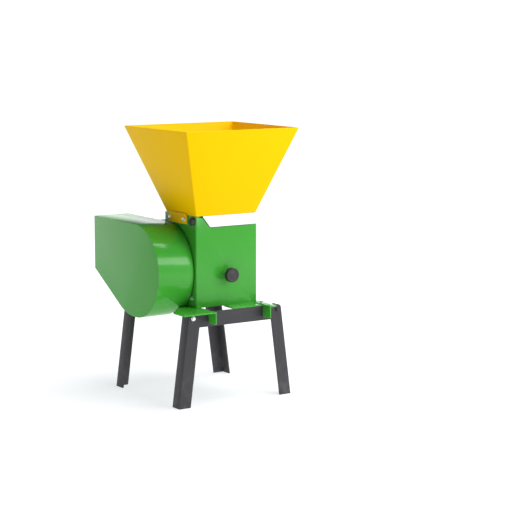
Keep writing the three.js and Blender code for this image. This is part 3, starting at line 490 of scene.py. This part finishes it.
def show(name, bm, body, slot, stands_for=(), edge=0.0, segments=None):
    """Makes the bmesh a piece on its body, with its slot's finish and its edges rounded."""
    mesh = bpy.data.meshes.new(name)
    bm.to_mesh(mesh)
    bm.free()
    mesh.polygons.foreach_set("use_smooth", [True] * len(mesh.polygons))
    piece = bpy.data.objects.new(name, mesh)
    bpy.context.scene.collection.objects.link(piece)
    mesh.materials.append(finish(slot))
    if edge:
        rounded = piece.modifiers.new("rounded_edges", "BEVEL")
        rounded.width = edge
        rounded.segments = segments or settings().edges.segments
        rounded.limit_method = "ANGLE"
        rounded.angle_limit = SHARP
        rounded.harden_normals = True
        rounded.miter_outer = "MITER_ARC"
    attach(piece, body)
    if stands_for:
        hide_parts(*stands_for)
    return piece


def copy_of(node):
    """A node's shape with its corners merged and its flat faces whole."""
    bm = bmesh.new()
    bm.from_mesh(frame["nodes"][node].data)
    bmesh.ops.remove_doubles(bm, verts=bm.verts, dist=MERGE)
    bmesh.ops.dissolve_limit(
        bm, angle_limit=FLAT, verts=bm.verts, edges=bm.edges, delimit={"NORMAL"}
    )
    return bm


def refine(node, edge, segments=None):
    """A finer copy of a node, with rounded edges, that stands for it."""
    bm = copy_of(node)
    return show(f"{node}_fine", bm, BODY_OF[node], SLOT_OF[node], [node], edge, segments)


def ring_at(node, z):
    """The lowest and highest corner of a node's vertices at that height."""
    near = [v.co for v in frame["nodes"][node].data.vertices if abs(v.co.z - z) < 0.02 * MM]
    xs, ys = [p.x for p in near], [p.y for p in near]
    return at(min(xs), min(ys), z), at(max(xs), max(ys), z)


def lathe(bm, outline, way, place, steps):
    """Spins [radius, height] points round an axis; a closed outline makes a ring."""
    verts = [bm.verts.new((radius, 0, height)) for radius, height in outline]
    edges = [bm.edges.new(pair) for pair in zip(verts, verts[1:])]
    if outline[0][0] > 0 and outline[-1][0] > 0:
        edges.append(bm.edges.new((verts[-1], verts[0])))
    before = set(bm.verts) - set(verts)
    bmesh.ops.spin(
        bm, geom=verts + edges, cent=(0, 0, 0), axis=(0, 0, 1), angle=TAU, steps=steps,
        use_merge=True,
    )
    made = [v for v in bm.verts if v not in before]
    bmesh.ops.remove_doubles(bm, verts=made, dist=MERGE)
    made = [v for v in bm.verts if v not in before]
    faces = list({face for v in made for face in v.link_faces})
    bmesh.ops.recalc_face_normals(bm, faces=faces)
    bm.normal_update()
    volume = sum(f.normal.dot(f.calc_center_median()) * f.calc_area() for f in faces)
    if volume < 0:  # a thin disc can come out inside out
        bmesh.ops.reverse_faces(bm, faces=faces)
    put(bm, made, way, place)


def arc(centre, radius, start, end, steps):
    """[u, v] points on an arc, in degrees."""
    turns = [math.radians(start + (end - start) * i / steps) for i in range(steps + 1)]
    return [(centre[0] + radius * math.cos(t), centre[1] + radius * math.sin(t)) for t in turns]


def prism(bm, sides, radius, depth, way, place, rim=0.0):
    """A bar of `sides` sides that starts at its place, its far rim rounded by `rim`."""
    made = bmesh.ops.create_cone(
        bm, cap_ends=True, segments=sides, radius1=radius, radius2=radius, depth=depth
    )["verts"]
    bmesh.ops.translate(bm, vec=(0, 0, depth / 2), verts=made)
    if rim:
        edges = {edge for v in made for edge in v.link_edges}
        far = [e for e in edges if all(v.co.z > depth * 0.99 for v in e.verts)]
        made = set(made)
        bevelled = bmesh.ops.bevel(
            bm, geom=far, offset=rim, segments=2, profile=0.5, affect="EDGES", material=-1
        )
        made = {v for v in made if v.is_valid} | set(bevelled["verts"])
    put(bm, list(made), way, place)


def block(bm, low, high, radius=0.0):
    """A box with rounded edges."""
    made = bmesh.ops.create_cube(bm, size=1)["verts"]
    bmesh.ops.scale(bm, vec=high - low, verts=made)
    bmesh.ops.translate(bm, vec=(low + high) / 2, verts=made)
    if radius:
        edges = list({edge for v in made for edge in v.link_edges})
        bmesh.ops.bevel(
            bm, geom=edges, offset=radius, segments=3, profile=0.5, affect="EDGES", material=-1
        )


# ---- Fasteners ---------------------------------------------------------------

BOLT = {"shank": 2.91 * MM, "head": 5.7 * MM, "height": 4 * MM, "chamfer": 0.7 * MM}
WASHER = {"radius": 6.6 * MM, "thickness": 1.1 * MM, "edge": 0.25 * MM}
NUT = {"radius": 5.7 * MM, "height": 5 * MM, "stand_out": 0.4 * MM}
HEAD_STAND = 4.5 * MM  # from the seat to the top of a frame bolt's head
BOLT_EDGE = 0.15 * MM


def hex_bolt(bm, place, way, shank=0.0, washer=True):
    """A hexagon head and washer that stand out along `way`, and a shank the other way."""
    if washer:
        prism(bm, 28, WASHER["radius"], WASHER["thickness"], way, place, WASHER["edge"])
    head = place + outward(way) * (WASHER["thickness"] if washer else 0)
    prism(bm, 6, BOLT["head"], BOLT["height"], way, head, BOLT["chamfer"])
    if shank:
        prism(bm, 16, BOLT["shank"], shank, opposite(way), place, 0.5 * MM)


def hex_nut(bm, place, way):
    prism(bm, 6, NUT["radius"], NUT["height"], way, place, BOLT["chamfer"])


def cap_screw(bm, place, way, radius, height):
    """A domed screw head with a hexagon socket."""
    dome = [(radius * u, height * v / 0.9) for u, v in arc((0, 0), 1, 10, 62, 4)]
    socket, top = radius * 0.45, dome[-1][1]
    floor = top - height * 0.6
    outline = [(0, 0), (radius, 0), *dome, (socket, top), (socket, floor), (0, floor)]
    lathe(bm, outline, way, place, 24)


def seat_of(node, way):
    """Where a frame bolt's head meets the face that it is screwed to, and its shank."""
    foot, size = foot_of(node, way)
    shank = size[AXIS[way[-1]]] - HEAD_STAND
    return foot + outward(way) * shank, shank


FRAME_BOLTS = {
    "front_left_leg_bolt": "-y",
    "front_right_leg_bolt": "-y",
    "rear_left_leg_bolt": "y",
    "rear_right_leg_bolt": "y",
    "right_bearer_bolt": "z",
    "left_cheek_bolt": "-x",
    "left_tab_front_bolt": "-x",
    "left_tab_rear_bolt": "-x",
}
# These leg bolts take the stand's black enamel in place of zinc, so they show as dark as the
# leg.
BLACK_FINISH_BOLTS = {"front_right_leg_bolt", "rear_right_leg_bolt"}


class WALNUT_OT_fasteners(bpy.types.Operator):
    """Hexagon bolts with washers, and the bolts of the right side."""

    bl_idname = "walnut_cracker.fasteners"
    bl_label = "Fasteners"

    def execute(self, context):
        for node, way in FRAME_BOLTS.items():
            seat, shank = seat_of(node, way)
            bm = bmesh.new()
            hex_bolt(bm, seat, way, shank)
            if "leg" in node:
                back = opposite(way)
                behind = shank - NUT["height"] + NUT["stand_out"]
                hex_nut(bm, seat + outward(back) * behind, back)
            slot = "black_paint" if node in BLACK_FINISH_BOLTS else SLOT_OF[node]
            show(f"{node}_fine", bm, BODY_OF[node], slot, [node], BOLT_EDGE, 1)
        self.right_side()
        return {"FINISHED"}

    def right_side(self):
        """The same bolts on the right tab and cheek, mirrored about the housing's middle."""
        centre = middle("front_panel").x
        bm = bmesh.new()
        for node in ("left_tab_front_bolt", "left_tab_rear_bolt", "left_cheek_bolt"):
            seat, shank = seat_of(node, "-x")
            hex_bolt(bm, at(2 * centre - seat.x, seat.y, seat.z), "x", shank)
        show("right_side_bolts", bm, "machine", "zinc", edge=BOLT_EDGE, segments=1)


# ---- Hopper ------------------------------------------------------------------


HOPPER = {"wall": 2.5 * MM, "turned_in": 1.2 * MM, "sharp": math.radians(50)}
WELD = {"drops": 58, "sunk": 1.6 * MM, "drop": (2.4 * MM, 2.4 * MM, 3.4 * MM)}


class WALNUT_OT_hopper(bpy.types.Operator):
    """The folded sheet hopper, its corner welds and its two tabs."""

    bl_idname = "walnut_cracker.hopper"
    bl_label = "Hopper"

    def execute(self, context):
        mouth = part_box("hopper")[1].z
        heights = sorted({round(v.co.z, 6) for v in frame["nodes"]["hopper"].data.vertices})
        foot, collar, lip = heights[0], heights[1], heights[-2]
        rings = [ring_at("hopper", z) for z in (foot, collar, lip, mouth)]
        self.shell(rings)
        self.welds(*rings[1:3])
        for side in ("left", "right"):
            refine(f"{side}_hopper_tab", settings().edges.sheet)
        return {"FINISHED"}

    def shell(self, rings):
        """The outside, drawn up ring by ring from its foot, then folded and given its wall."""
        (low, high), *others = rings
        turned = at(HOPPER["turned_in"], HOPPER["turned_in"], 0)
        low, high = low + turned, high - turned
        bm = bmesh.new()
        corners = [
            bm.verts.new((x, y, low.z)) for x, y in
            ((low.x, low.y), (high.x, low.y), (high.x, high.y), (low.x, high.y))
        ]
        loop = [bm.edges.new((corners[i - 1], corners[i])) for i in range(4)]
        for low, high in others:
            grown = bmesh.ops.extrude_edge_only(bm, edges=loop)["geom"]
            new = [v for v in grown if isinstance(v, bmesh.types.BMVert)]
            centre = (low + high) / 2
            for v in new:
                v.co.x = low.x if v.co.x < centre.x else high.x
                v.co.y = low.y if v.co.y < centre.y else high.y
                v.co.z = low.z
            loop = [
                e for e in grown
                if isinstance(e, bmesh.types.BMEdge) and all(v in new for v in e.verts)
            ]
        folds = [e for e in bm.edges if abs(e.verts[0].co.z - e.verts[1].co.z) > MM]
        bmesh.ops.bevel(
            bm, geom=folds, offset=settings().edges.fold, segments=4, profile=0.5,
            affect="EDGES", material=-1,
        )
        bmesh.ops.recalc_face_normals(bm, faces=bm.faces)
        outside = max(bm.faces, key=lambda face: face.calc_center_median().x)
        if outside.normal.x < 0:
            bmesh.ops.reverse_faces(bm, faces=bm.faces)
        shell = show("hopper_shell", bm, "machine", "yellow_paint", ["hopper"])
        sheet = shell.modifiers.new("sheet", "SOLIDIFY")
        sheet.thickness = HOPPER["wall"]
        sheet.offset = -1
        sheet.use_even_offset = True
        rounded = shell.modifiers.new("rounded_edges", "BEVEL")
        rounded.width = settings().edges.sheet
        rounded.segments = 2
        rounded.limit_method = "ANGLE"
        rounded.angle_limit = HOPPER["sharp"]
        rounded.harden_normals = True

    def welds(self, bottom, top):
        """A bead of weld up each inside corner, laid as overlapping drops."""
        inset = HOPPER["wall"] + WELD["sunk"]
        bm = bmesh.new()
        for right in (0, 1):
            for back in (0, 1):
                inward = at(-inset if right else inset, -inset if back else inset, 0)
                start, end = (
                    at(ring[right].x, ring[back].y, ring[0].z) + inward
                    for ring in (bottom, top)
                )
                slant = (end - start).to_track_quat("Z", "X").to_matrix().to_4x4()
                for drop in range(WELD["drops"]):
                    spot = start.lerp(end, (drop + 0.5) / WELD["drops"])
                    bmesh.ops.create_icosphere(
                        bm, subdivisions=1, radius=1,
                        matrix=Matrix.Translation(spot) @ slant
                        @ Matrix.Diagonal((*WELD["drop"], 1)),
                    )
        show("hopper_corner_welds", bm, "machine", "yellow_paint")


# ---- Stand -------------------------------------------------------------------


class WALNUT_OT_stand(bpy.types.Operator):
    """Angle-iron legs and rails, and the two bearers."""

    bl_idname = "walnut_cracker.stand"
    bl_label = "Stand"

    def execute(self, context):
        for node in (
            "front_left_leg", "front_right_leg", "rear_left_leg", "rear_right_leg",
            "front_rail", "rear_rail", "left_bearer", "right_bearer", "motor_cradle",
        ):
            refine(node, settings().edges.angle)
        return {"FINISHED"}


# ---- Housing and gate --------------------------------------------------------


class WALNUT_OT_housing(bpy.types.Operator):
    """Cheeks, panels, deflector, slide gate and its guides."""

    bl_idname = "walnut_cracker.housing"
    bl_label = "Housing"

    def execute(self, context):
        for node in (
            "left_cheek", "right_cheek", "front_panel", "rear_panel", "feed_deflector",
            "left_gate_guide", "right_gate_guide", "slide_gate",
        ):
            refine(node, settings().edges.sheet)
        return {"FINISHED"}


class WALNUT_OT_guard(bpy.types.Operator):
    """The belt guard and its three stand-offs."""

    bl_idname = "walnut_cracker.guard"
    bl_label = "Belt guard"

    def execute(self, context):
        refine("belt_guard", 0.9 * MM)
        for where in ("upper", "lower", "rear"):
            refine(f"{where}_guard_standoff", settings().edges.machined)
        return {"FINISHED"}


# ---- Drum, jaw and adjuster --------------------------------------------------


BEARING = {"flange": 7 * MM, "screws_at": 0.87, "nipple_at": 0.70}  # at shares of its radius
THREAD = {"lead": 5 * MM, "depth": 1.4 * MM, "foot": 1.9 * MM, "crest": 0.5 * MM}


class WALNUT_OT_drum(bpy.types.Operator):
    """The fluted drum, its shaft and its two bearings with their screws."""

    bl_idname = "walnut_cracker.drum"
    bl_label = "Drum"

    def execute(self, context):
        refine("crushing_drum", 0.5 * MM, segments=2)
        refine("drum_shaft", 1 * MM)
        for side, way in (("left", "-x"), ("right", "x")):
            refine(f"{side}_bearing", settings().edges.casting)
            self.bearing_screws(side, way)
        return {"FINISHED"}

    def bearing_screws(self, side, way):
        """Four screws in a bearing's flange, and its grease nipple."""
        foot, size = foot_of(f"{side}_bearing", way)
        face = foot + outward(way) * BEARING["flange"]
        bm = bmesh.new()
        for place in around(face, size.z / 2 * BEARING["screws_at"]):
            cap_screw(bm, place, way, 3.6 * MM, 3 * MM)
        nipple = [(0, 0), (2.6 * MM, 0), (2.6 * MM, 2 * MM), (1.6 * MM, 3 * MM),
                  (1.6 * MM, 4.6 * MM), (2 * MM, 5.2 * MM), (1.2 * MM, 6.6 * MM), (0, 6.8 * MM)]
        lathe(bm, nipple, way, face + at(0, 0, size.z / 2 * BEARING["nipple_at"]), 16)
        show(f"{side}_bearing_screws", bm, "machine", "zinc")


class WALNUT_OT_jaw(bpy.types.Operator):
    """The toothed jaw, its axle and the caps on the axle's ends."""

    bl_idname = "walnut_cracker.jaw"
    bl_label = "Jaw"

    def execute(self, context):
        refine("jaw_plate", 0.5 * MM, segments=2)
        refine("jaw_axle", settings().edges.machined)
        for node, way in (("left_axle_cap", "-x"), ("right_axle_clip", "x")):
            foot, size = foot_of(node, way)
            radius, depth = size.z / 2, size.x
            fillet = 0.28 * radius
            outline = [(0, 0), (radius, 0), (radius, depth - fillet)]
            outline += arc((radius - fillet, depth - fillet), fillet, 15, 90, 5)
            outline += [(0.42 * radius, depth), (0.34 * radius, depth - 0.7 * MM),
                        (0, depth - 0.9 * MM)]
            bm = bmesh.new()
            lathe(bm, outline, way, foot, 40)
            show(f"{node}_fine", bm, BODY_OF[node], SLOT_OF[node], [node])
        return {"FINISHED"}


class WALNUT_OT_adjuster(bpy.types.Operator):
    """The knob, the threaded screw, its boss, its lock nut and the thrust pad."""

    bl_idname = "walnut_cracker.adjuster"
    bl_label = "Gap adjuster"

    def execute(self, context):
        self.knob()
        self.screw()
        self.nut()
        refine("screw_boss", settings().edges.machined)
        refine("thrust_pad", settings().edges.machined)
        return {"FINISHED"}

    def knob(self):
        """A round knob with shallow grips, a rounded face and a pressed-in cap."""
        foot, size = foot_of("adjusting_knob", "-y")
        radius, depth = size.z / 2, size.y
        bore, rim = 7.3 * MM, 2.2 * MM
        lobes, steps_a_lobe, dip = 24, 8, 0.5 * MM
        outline = [(bore, 0), (radius - 1.2 * MM, 0), (radius, 1.2 * MM), (radius, depth - rim)]
        outline += arc((radius - rim, depth - rim), rim, 15, 90, 5)
        outline += [(radius * 0.72, depth), (radius * 0.69, depth - 0.5 * MM),
                    (radius * 0.60, depth - 0.5 * MM), (radius * 0.57, depth - 0.1 * MM),
                    (0, depth - 0.1 * MM), (0, depth - 2 * MM), (bore, depth - 2 * MM)]
        bm = bmesh.new()
        lathe(bm, outline, "z", at(0, 0, 0), lobes * steps_a_lobe)
        for v in bm.verts:
            reach = math.hypot(v.co.x, v.co.y)
            if reach > radius - rim * 0.7:
                turn = math.atan2(v.co.y, v.co.x)
                share = 1 - dip * (1 - math.cos(lobes * turn)) / reach
                v.co.x, v.co.y = v.co.x * share, v.co.y * share
        bmesh.ops.recalc_face_normals(bm, faces=bm.faces)
        put(bm, bm.verts, "-y", foot)
        show("adjusting_knob_fine", bm, "adjuster", "black_plastic", ["adjusting_knob"])

    def screw(self):
        """A bar cut with a rounded thread, plain for one turn at each end."""
        foot, size = foot_of("adjusting_screw", "y")
        radius = size.z / 2
        root = radius - THREAD["depth"]
        run = size.y - 2 * THREAD["lead"]
        turns = run / THREAD["lead"]
        steps = int(turns * 28)
        sunk = root - 0.3 * MM
        outline = [(sunk, -THREAD["foot"]), (root, -THREAD["foot"]), (radius, -THREAD["crest"]),
                   (radius, THREAD["crest"]), (root, THREAD["foot"]), (sunk, THREAD["foot"])]
        bm = bmesh.new()
        start = bm.faces.new([bm.verts.new((reach, 0, height)) for reach, height in outline])
        bmesh.ops.spin(
            bm, geom=[start], cent=(0, 0, 0), axis=(0, 0, 1), angle=TAU * turns, steps=steps,
            dvec=(0, 0, run / steps), use_merge=False,
        )
        put(bm, bm.verts, "y", foot + at(0, THREAD["lead"], 0))
        prism(bm, 32, root, size.y, "y", foot, 0.8 * MM)
        bmesh.ops.recalc_face_normals(bm, faces=bm.faces)
        show("adjusting_screw_fine", bm, "adjuster", "steel", ["adjusting_screw"])

    def nut(self):
        """A hexagon lock nut, bored for the screw."""
        foot, size = foot_of("lock_nut", "-y")
        bm = bmesh.new()
        made = bmesh.ops.create_circle(bm, segments=6, radius=size.x / 2)["verts"]
        inner = bmesh.ops.create_circle(bm, segments=30, radius=7.4 * MM)["verts"]
        edges = list({e for v in made + inner for e in v.link_edges})
        bmesh.ops.bridge_loops(bm, edges=edges)
        grown = bmesh.ops.extrude_face_region(bm, geom=list(bm.faces))["geom"]
        lifted = [v for v in grown if isinstance(v, bmesh.types.BMVert)]
        bmesh.ops.translate(bm, vec=(0, 0, size.y), verts=lifted)
        bmesh.ops.recalc_face_normals(bm, faces=bm.faces)
        put(bm, bm.verts, "-y", foot)
        show("lock_nut_fine", bm, "machine", "zinc", ["lock_nut"], 0.6 * MM, 2)


# ---- Belt drive --------------------------------------------------------------


BELT = {"height": 7 * MM, "narrow": 0.60, "cog": 1.4 * MM}  # narrow is its inner width's share


class WALNUT_OT_drive(bpy.types.Operator):
    """The two pulleys and the notched V belt round them."""

    bl_idname = "walnut_cracker.drive"
    bl_label = "Belt drive"

    def execute(self, context):
        refine("drum_pulley", settings().edges.casting, segments=2)
        refine("motor_pulley", settings().edges.machined, segments=2)
        self.belt()
        return {"FINISHED"}

    def belt(self):
        """A V section with cogs moulded along its inside."""
        low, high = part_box("drive_belt")
        big, small = middle("drum_pulley"), middle("motor_pulley")
        half = (high.x - low.x) / 2
        bm = bmesh.new()
        loops = []
        for x, inset, cog in (
            (half, 0, 0), (half * BELT["narrow"], BELT["height"], BELT["cog"]),
            (-half * BELT["narrow"], BELT["height"], BELT["cog"]), (-half, 0, 0),
        ):
            wheels = (big, big.y - low.y - inset), (small, high.y - small.y - inset)
            verts = [bm.verts.new((big.x + x, y, z)) for y, z in self.path(*wheels, cog)]
            loops.append([bm.edges.new(pair) for pair in zip(verts, verts[1:] + verts[:1])])
        for first, second in zip(loops, loops[1:] + loops[:1]):
            bmesh.ops.bridge_loops(bm, edges=first + second)
        bmesh.ops.recalc_face_normals(bm, faces=bm.faces)
        show("drive_belt_fine", bm, "machine", "belt_rubber", ["drive_belt"], 0.4 * MM, 1)

    @staticmethod
    def path(big_wheel, small_wheel, cog):
        """Even points round both wheels; every other pair is lifted by `cog`."""
        (big, big_radius), (small, small_radius) = big_wheel, small_wheel
        across = small - big
        heading = math.atan2(across.z, across.y)
        wrap = math.acos((big_radius - small_radius) / math.hypot(across.y, across.z))
        spans = (
            (big, big_radius, heading + wrap, TAU - 2 * wrap, 96),
            (small, small_radius, heading - wrap, 2 * wrap, 40),
        )
        lifts = [0, cog, cog, 0]
        straight = 48
        points = []
        for (wheel, radius, start, sweep, steps), (other, reach, meet, *_) in zip(
            spans, spans[::-1]
        ):
            for step in range(steps + 1):
                turn = start + sweep * step / steps
                out = radius + lifts[step % 4]
                points.append((wheel.y + out * math.cos(turn), wheel.z + out * math.sin(turn)))
            y, z = points[-1]
            u, v = math.cos(meet), math.sin(meet)
            for step in range(1, straight):
                share, lift = step / straight, lifts[step % 4]
                points.append((y + (other.y + reach * u - y) * share + u * lift,
                               z + (other.z + reach * v - z) * share + v * lift))
        return points


# ---- Motor -------------------------------------------------------------------


MOTOR_FOOT = {"thickness": 8.3 * MM, "inset": 42 * MM, "reach": 45 * MM}
LID = {"thickness": 9 * MM, "groove": 0.8 * MM, "inset": 1.2 * MM, "screws_in": 9 * MM}


class WALNUT_OT_motor(bpy.types.Operator):
    """The ribbed motor, its shields, fan, cover, capacitor box and screws."""

    bl_idname = "walnut_cracker.motor"
    bl_label = "Motor"

    def execute(self, context):
        refine("motor_body", settings().edges.casting, segments=2)
        refine("motor_drive_shield", 2 * MM)
        refine("motor_fan_shield", 1 * MM)
        refine("motor_shaft", settings().edges.machined)
        refine("motor_fan", 0.4 * MM, segments=2)
        refine("fan_cover", settings().edges.sheet)
        self.screws()
        self.capacitor()
        return {"FINISHED"}

    def screws(self):
        """The drive shield's bolts and hub, and the bolts in the motor's foot."""
        foot, size = foot_of("motor_drive_shield", "x")
        bm = bmesh.new()
        for place in around(foot, size.z / 2 * 0.82):
            hex_bolt(bm, place, "-x", washer=False)
        hub = [(10 * MM, 0), (24 * MM, 0), (23 * MM, 3 * MM), (21 * MM, 4 * MM),
               (10 * MM, 4 * MM)]
        lathe(bm, hub, "-x", foot, 40)
        show("motor_drive_shield_bolts", bm, "machine", "motor_paint")
        bm = bmesh.new()
        low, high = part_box("motor_body")
        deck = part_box("motor_cradle")[1].z + MOTOR_FOOT["thickness"]
        for x in (low.x + MOTOR_FOOT["inset"], high.x - MOTOR_FOOT["inset"]):
            for side in (-1, 1):
                y = (low.y + high.y) / 2 + side * MOTOR_FOOT["reach"]
                hex_bolt(bm, at(x, y, deck), "z")
        show("motor_foot_bolts", bm, "machine", "zinc", edge=BOLT_EDGE, segments=1)

    def capacitor(self):
        """A moulded box with a lid, a parting groove and four lid screws."""
        low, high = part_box("capacitor_box")
        high.y -= 2.2 * MM  # room for the screws' heads
        seam = high.y - LID["thickness"]
        groove, radius = LID["groove"], 4 * MM
        inset = at(LID["inset"], 0, LID["inset"])
        bm = bmesh.new()
        block(bm, low, at(high.x, seam - groove, high.z), radius)
        block(bm, at(low.x, seam - 2 * groove, low.z) + inset,
              at(high.x, seam + groove, high.z) - inset)
        block(bm, at(low.x, seam, low.z), high, radius)
        show("capacitor_box_fine", bm, "machine", "black_plastic", ["capacitor_box"])
        bm = bmesh.new()
        for x in (low.x + LID["screws_in"], high.x - LID["screws_in"]):
            for z in (low.z + LID["screws_in"], high.z - LID["screws_in"]):
                cap_screw(bm, at(x, high.y, z), "y", 3.4 * MM, 2 * MM)
        show("capacitor_lid_screws", bm, "machine", "zinc")


# ---- Switch ------------------------------------------------------------------


BUTTONS = ("start_button", "stop_button")


class WALNUT_OT_switch(bpy.types.Operator):
    """The switch box with its lid, two buttons and the cable gland."""

    bl_idname = "walnut_cracker.switch"
    bl_label = "Switch"

    def execute(self, context):
        refine("switch_box", settings().edges.moulding, segments=3)
        self.lid()
        for node in BUTTONS:
            self.button(node)
        self.gland()
        return {"FINISHED"}

    def lid(self):
        """Collars round the buttons and the four screws of the lid."""
        low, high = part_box("switch_box")
        bm = bmesh.new()
        for node in BUTTONS:
            foot, size = foot_of(node, "x")
            bore = size.z / 2 + 0.4 * MM
            outline = [(bore, -1 * MM), (bore + 2.6 * MM, -1 * MM), (bore + 2.6 * MM, 1 * MM),
                       (bore + 1.8 * MM, 1.8 * MM), (bore + 0.6 * MM, 1.8 * MM),
                       (bore, 1.2 * MM)]
            lathe(bm, outline, "x", at(high.x, foot.y, foot.z), 40)
        show("switch_collars", bm, "machine", "black_plastic")
        bm = bmesh.new()
        inset = 7 * MM
        for y in (low.y + inset, high.y - inset):
            for z in (low.z + inset, high.z - inset):
                cap_screw(bm, at(high.x, y, z), "x", 3.2 * MM, 1.8 * MM)
        show("switch_lid_screws", bm, "machine", "zinc")

    def button(self, node):
        """A round button with a dished face."""
        foot, size = foot_of(node, "x")
        radius, depth = size.z / 2, size.x
        fillet = 1.6 * MM
        outline = [(0, 0), (radius, 0), (radius, depth - fillet)]
        outline += arc((radius - fillet, depth - fillet), fillet, 15, 90, 5)
        outline += [(radius * 0.5, depth - 0.35 * MM), (0, depth - 0.6 * MM)]
        bm = bmesh.new()
        lathe(bm, outline, "x", foot, 44)
        show(f"{node}_fine", bm, BODY_OF[node], SLOT_OF[node], [node])

    def gland(self):
        """A hexagon nut against the box, a threaded neck and a domed compression nut."""
        top, size = foot_of("cable_gland", "-z")
        bm = bmesh.new()
        prism(bm, 6, size.x / 2, 5 * MM, "-z", top, 0.6 * MM)
        neck = [(3.5 * MM, 5 * MM), (7.6 * MM, 5 * MM), (7.6 * MM, 7 * MM),
                (8.4 * MM, 7.4 * MM), (8.4 * MM, 11 * MM), (7.6 * MM, 13.5 * MM),
                (5.6 * MM, 15.6 * MM), (4.2 * MM, 16 * MM), (3.5 * MM, 16 * MM)]
        lathe(bm, neck, "-z", top, 36)
        show("cable_gland_fine", bm, "machine", "black_plastic", ["cable_gland"])


# ---- Studio ------------------------------------------------------------------


FLOOR_REACH = 30
FLOOR_FADES = (0.4, 2.2)  # from the machine's soft shade to white, in metres
LAMPS = {  # place, width and depth
    "key": ((1.1, -2.4, 1.35), 2.2, 0.8),
    "top": ((0.55, -0.3, 2.8), 2.0, 1.8),
}
LAMPS_FACE = Vector((0, 0, 0.4))


class WALNUT_OT_studio(bpy.types.Operator):
    """The floor, the room, the lights and the camera."""

    bl_idname = "walnut_cracker.studio"
    bl_label = "Studio"

    def execute(self, context):
        self.floor()
        self.room(context.scene)
        self.lights()
        self.camera(context.scene)
        context.scene.view_settings.view_transform = "Standard"
        return {"FINISHED"}

    def floor(self):
        """A wide pale floor that turns the light back up and glows, dimmer near the machine as
        painted shade.
        """
        mesh = bpy.data.meshes.new("studio_floor")
        bm = bmesh.new()
        bmesh.ops.create_grid(bm, x_segments=1, y_segments=1, size=FLOOR_REACH)
        bm.to_mesh(mesh)
        bm.free()
        floor = bpy.data.objects.new("studio_floor", mesh)
        bpy.context.scene.collection.objects.link(floor)
        s = Shader("studio_floor")
        tone = s.mix(s.noise(0.8, 2), (0.38, 0.385, 0.39), (0.41, 0.415, 0.42))
        away = s.number("VectorMath", {"operation": "LENGTH"}, {0: s.spot()}, "Value")
        # Painted shade: the floor's own glow is dimmer near the machine, standing in for the
        # soft shade it casts, and white further off.
        glow = s.mix(away.step(*FLOOR_FADES), (0.72, 0.73, 0.75), WHITE)
        mesh.materials.append(s.surface(
            Base_Color=tone, Roughness=0.9, Specular_IOR_Level=0.0,
            Emission_Color=glow, Emission_Strength=1.0,
        ))
        if hasattr(s.material, "cycles"):
            s.material.cycles.emission_sampling = "NONE"  # found by bounces, with less grain

    def room(self, scene):
        """A pale room: bright behind the machine, dim on its guard's side."""
        world = bpy.data.worlds.new("studio_room")
        world.use_nodes = True
        scene.world = world
        s = Shader("studio_room", world.node_tree)
        way = s.node("TexCoord", {}, {}).outputs["Generated"]
        behind = s.dot(way, (0.55, 0.83, 0)).step(0.3, 0.85)
        right = s.dot(way, (1, 0, 0)).step(-0.4, 0.8)
        horizon = 1 - s.dot(way, (0, 0, 1)).step(0.18, 0.36)
        room = (0.05 + 0.5 * right) * settings().studio.sky
        strength = room + horizon * (0.6 + behind * 0.6)
        shade = s.node("Background", {}, {"Color": (0.97, 0.985, 1.0), "Strength": strength})
        s.node("OutputWorld", {}, {"Surface": shade.outputs[0]})

    def lights(self):
        """Two soft boxes that face the machine's middle."""
        for name, (place, width, depth) in LAMPS.items():
            light = bpy.data.lights.new(f"{name}_light", "AREA")
            light.shape = "RECTANGLE"
            light.size, light.size_y = width, depth
            light.energy = getattr(settings().studio, name)
            lamp = bpy.data.objects.new(f"{name}_light", light)
            lamp.location = place
            aim = LAMPS_FACE - Vector(place)
            lamp.rotation_euler = aim.to_track_quat("-Z", "Y").to_euler()
            bpy.context.scene.collection.objects.link(lamp)

    def camera(self, scene):
        """A long lens a few metres off, turned by the yaw and tipped by the pitch."""
        studio = settings().studio
        forward = Vector((
            math.sin(studio.yaw) * math.cos(studio.pitch),
            math.cos(studio.yaw) * math.cos(studio.pitch),
            -math.sin(studio.pitch),
        ))
        lens = bpy.data.cameras.new("studio_camera")
        lens.sensor_width = 36  # mm
        lens.lens = studio.lens
        camera = bpy.data.objects.new("studio_camera", lens)
        camera.location = Vector(studio.target) - forward * studio.distance
        camera.rotation_euler = forward.to_track_quat("-Z", "Y").to_euler()
        scene.collection.objects.link(camera)
        scene.camera = camera


# ---- Add-on ------------------------------------------------------------------

OPERATORS = (
    WALNUT_OT_hopper,
    WALNUT_OT_stand,
    WALNUT_OT_housing,
    WALNUT_OT_guard,
    WALNUT_OT_drum,
    WALNUT_OT_jaw,
    WALNUT_OT_adjuster,
    WALNUT_OT_drive,
    WALNUT_OT_motor,
    WALNUT_OT_switch,
    WALNUT_OT_fasteners,
    WALNUT_OT_studio,
)


class WALNUT_PT_sidebar(bpy.types.Panel):
    """Lists the operators that build the walnut cracker."""

    bl_idname = "WALNUT_PT_sidebar"
    bl_label = "Walnut Cracker"
    bl_space_type = "VIEW_3D"
    bl_region_type = "UI"
    bl_category = "Walnut Cracker"

    def draw(self, context):
        for operator in OPERATORS:
            self.layout.operator(operator.bl_idname)


CLASSES = (
    WALNUT_PG_finishes, WALNUT_PG_edges, WALNUT_PG_studio, WALNUT_PG_settings, *OPERATORS,
    WALNUT_PT_sidebar,
)


def register():
    for each in CLASSES:
        bpy.utils.register_class(each)
    bpy.types.Scene.walnut_cracker = PointerProperty(type=WALNUT_PG_settings)


def unregister():
    del bpy.types.Scene.walnut_cracker
    for each in reversed(CLASSES):
        bpy.utils.unregister_class(each)


def main():
    register()
    for operator in OPERATORS:
        group, name = operator.bl_idname.split(".")
        getattr(getattr(bpy.ops, group), name)()


if __name__ == "__main__":
    main()
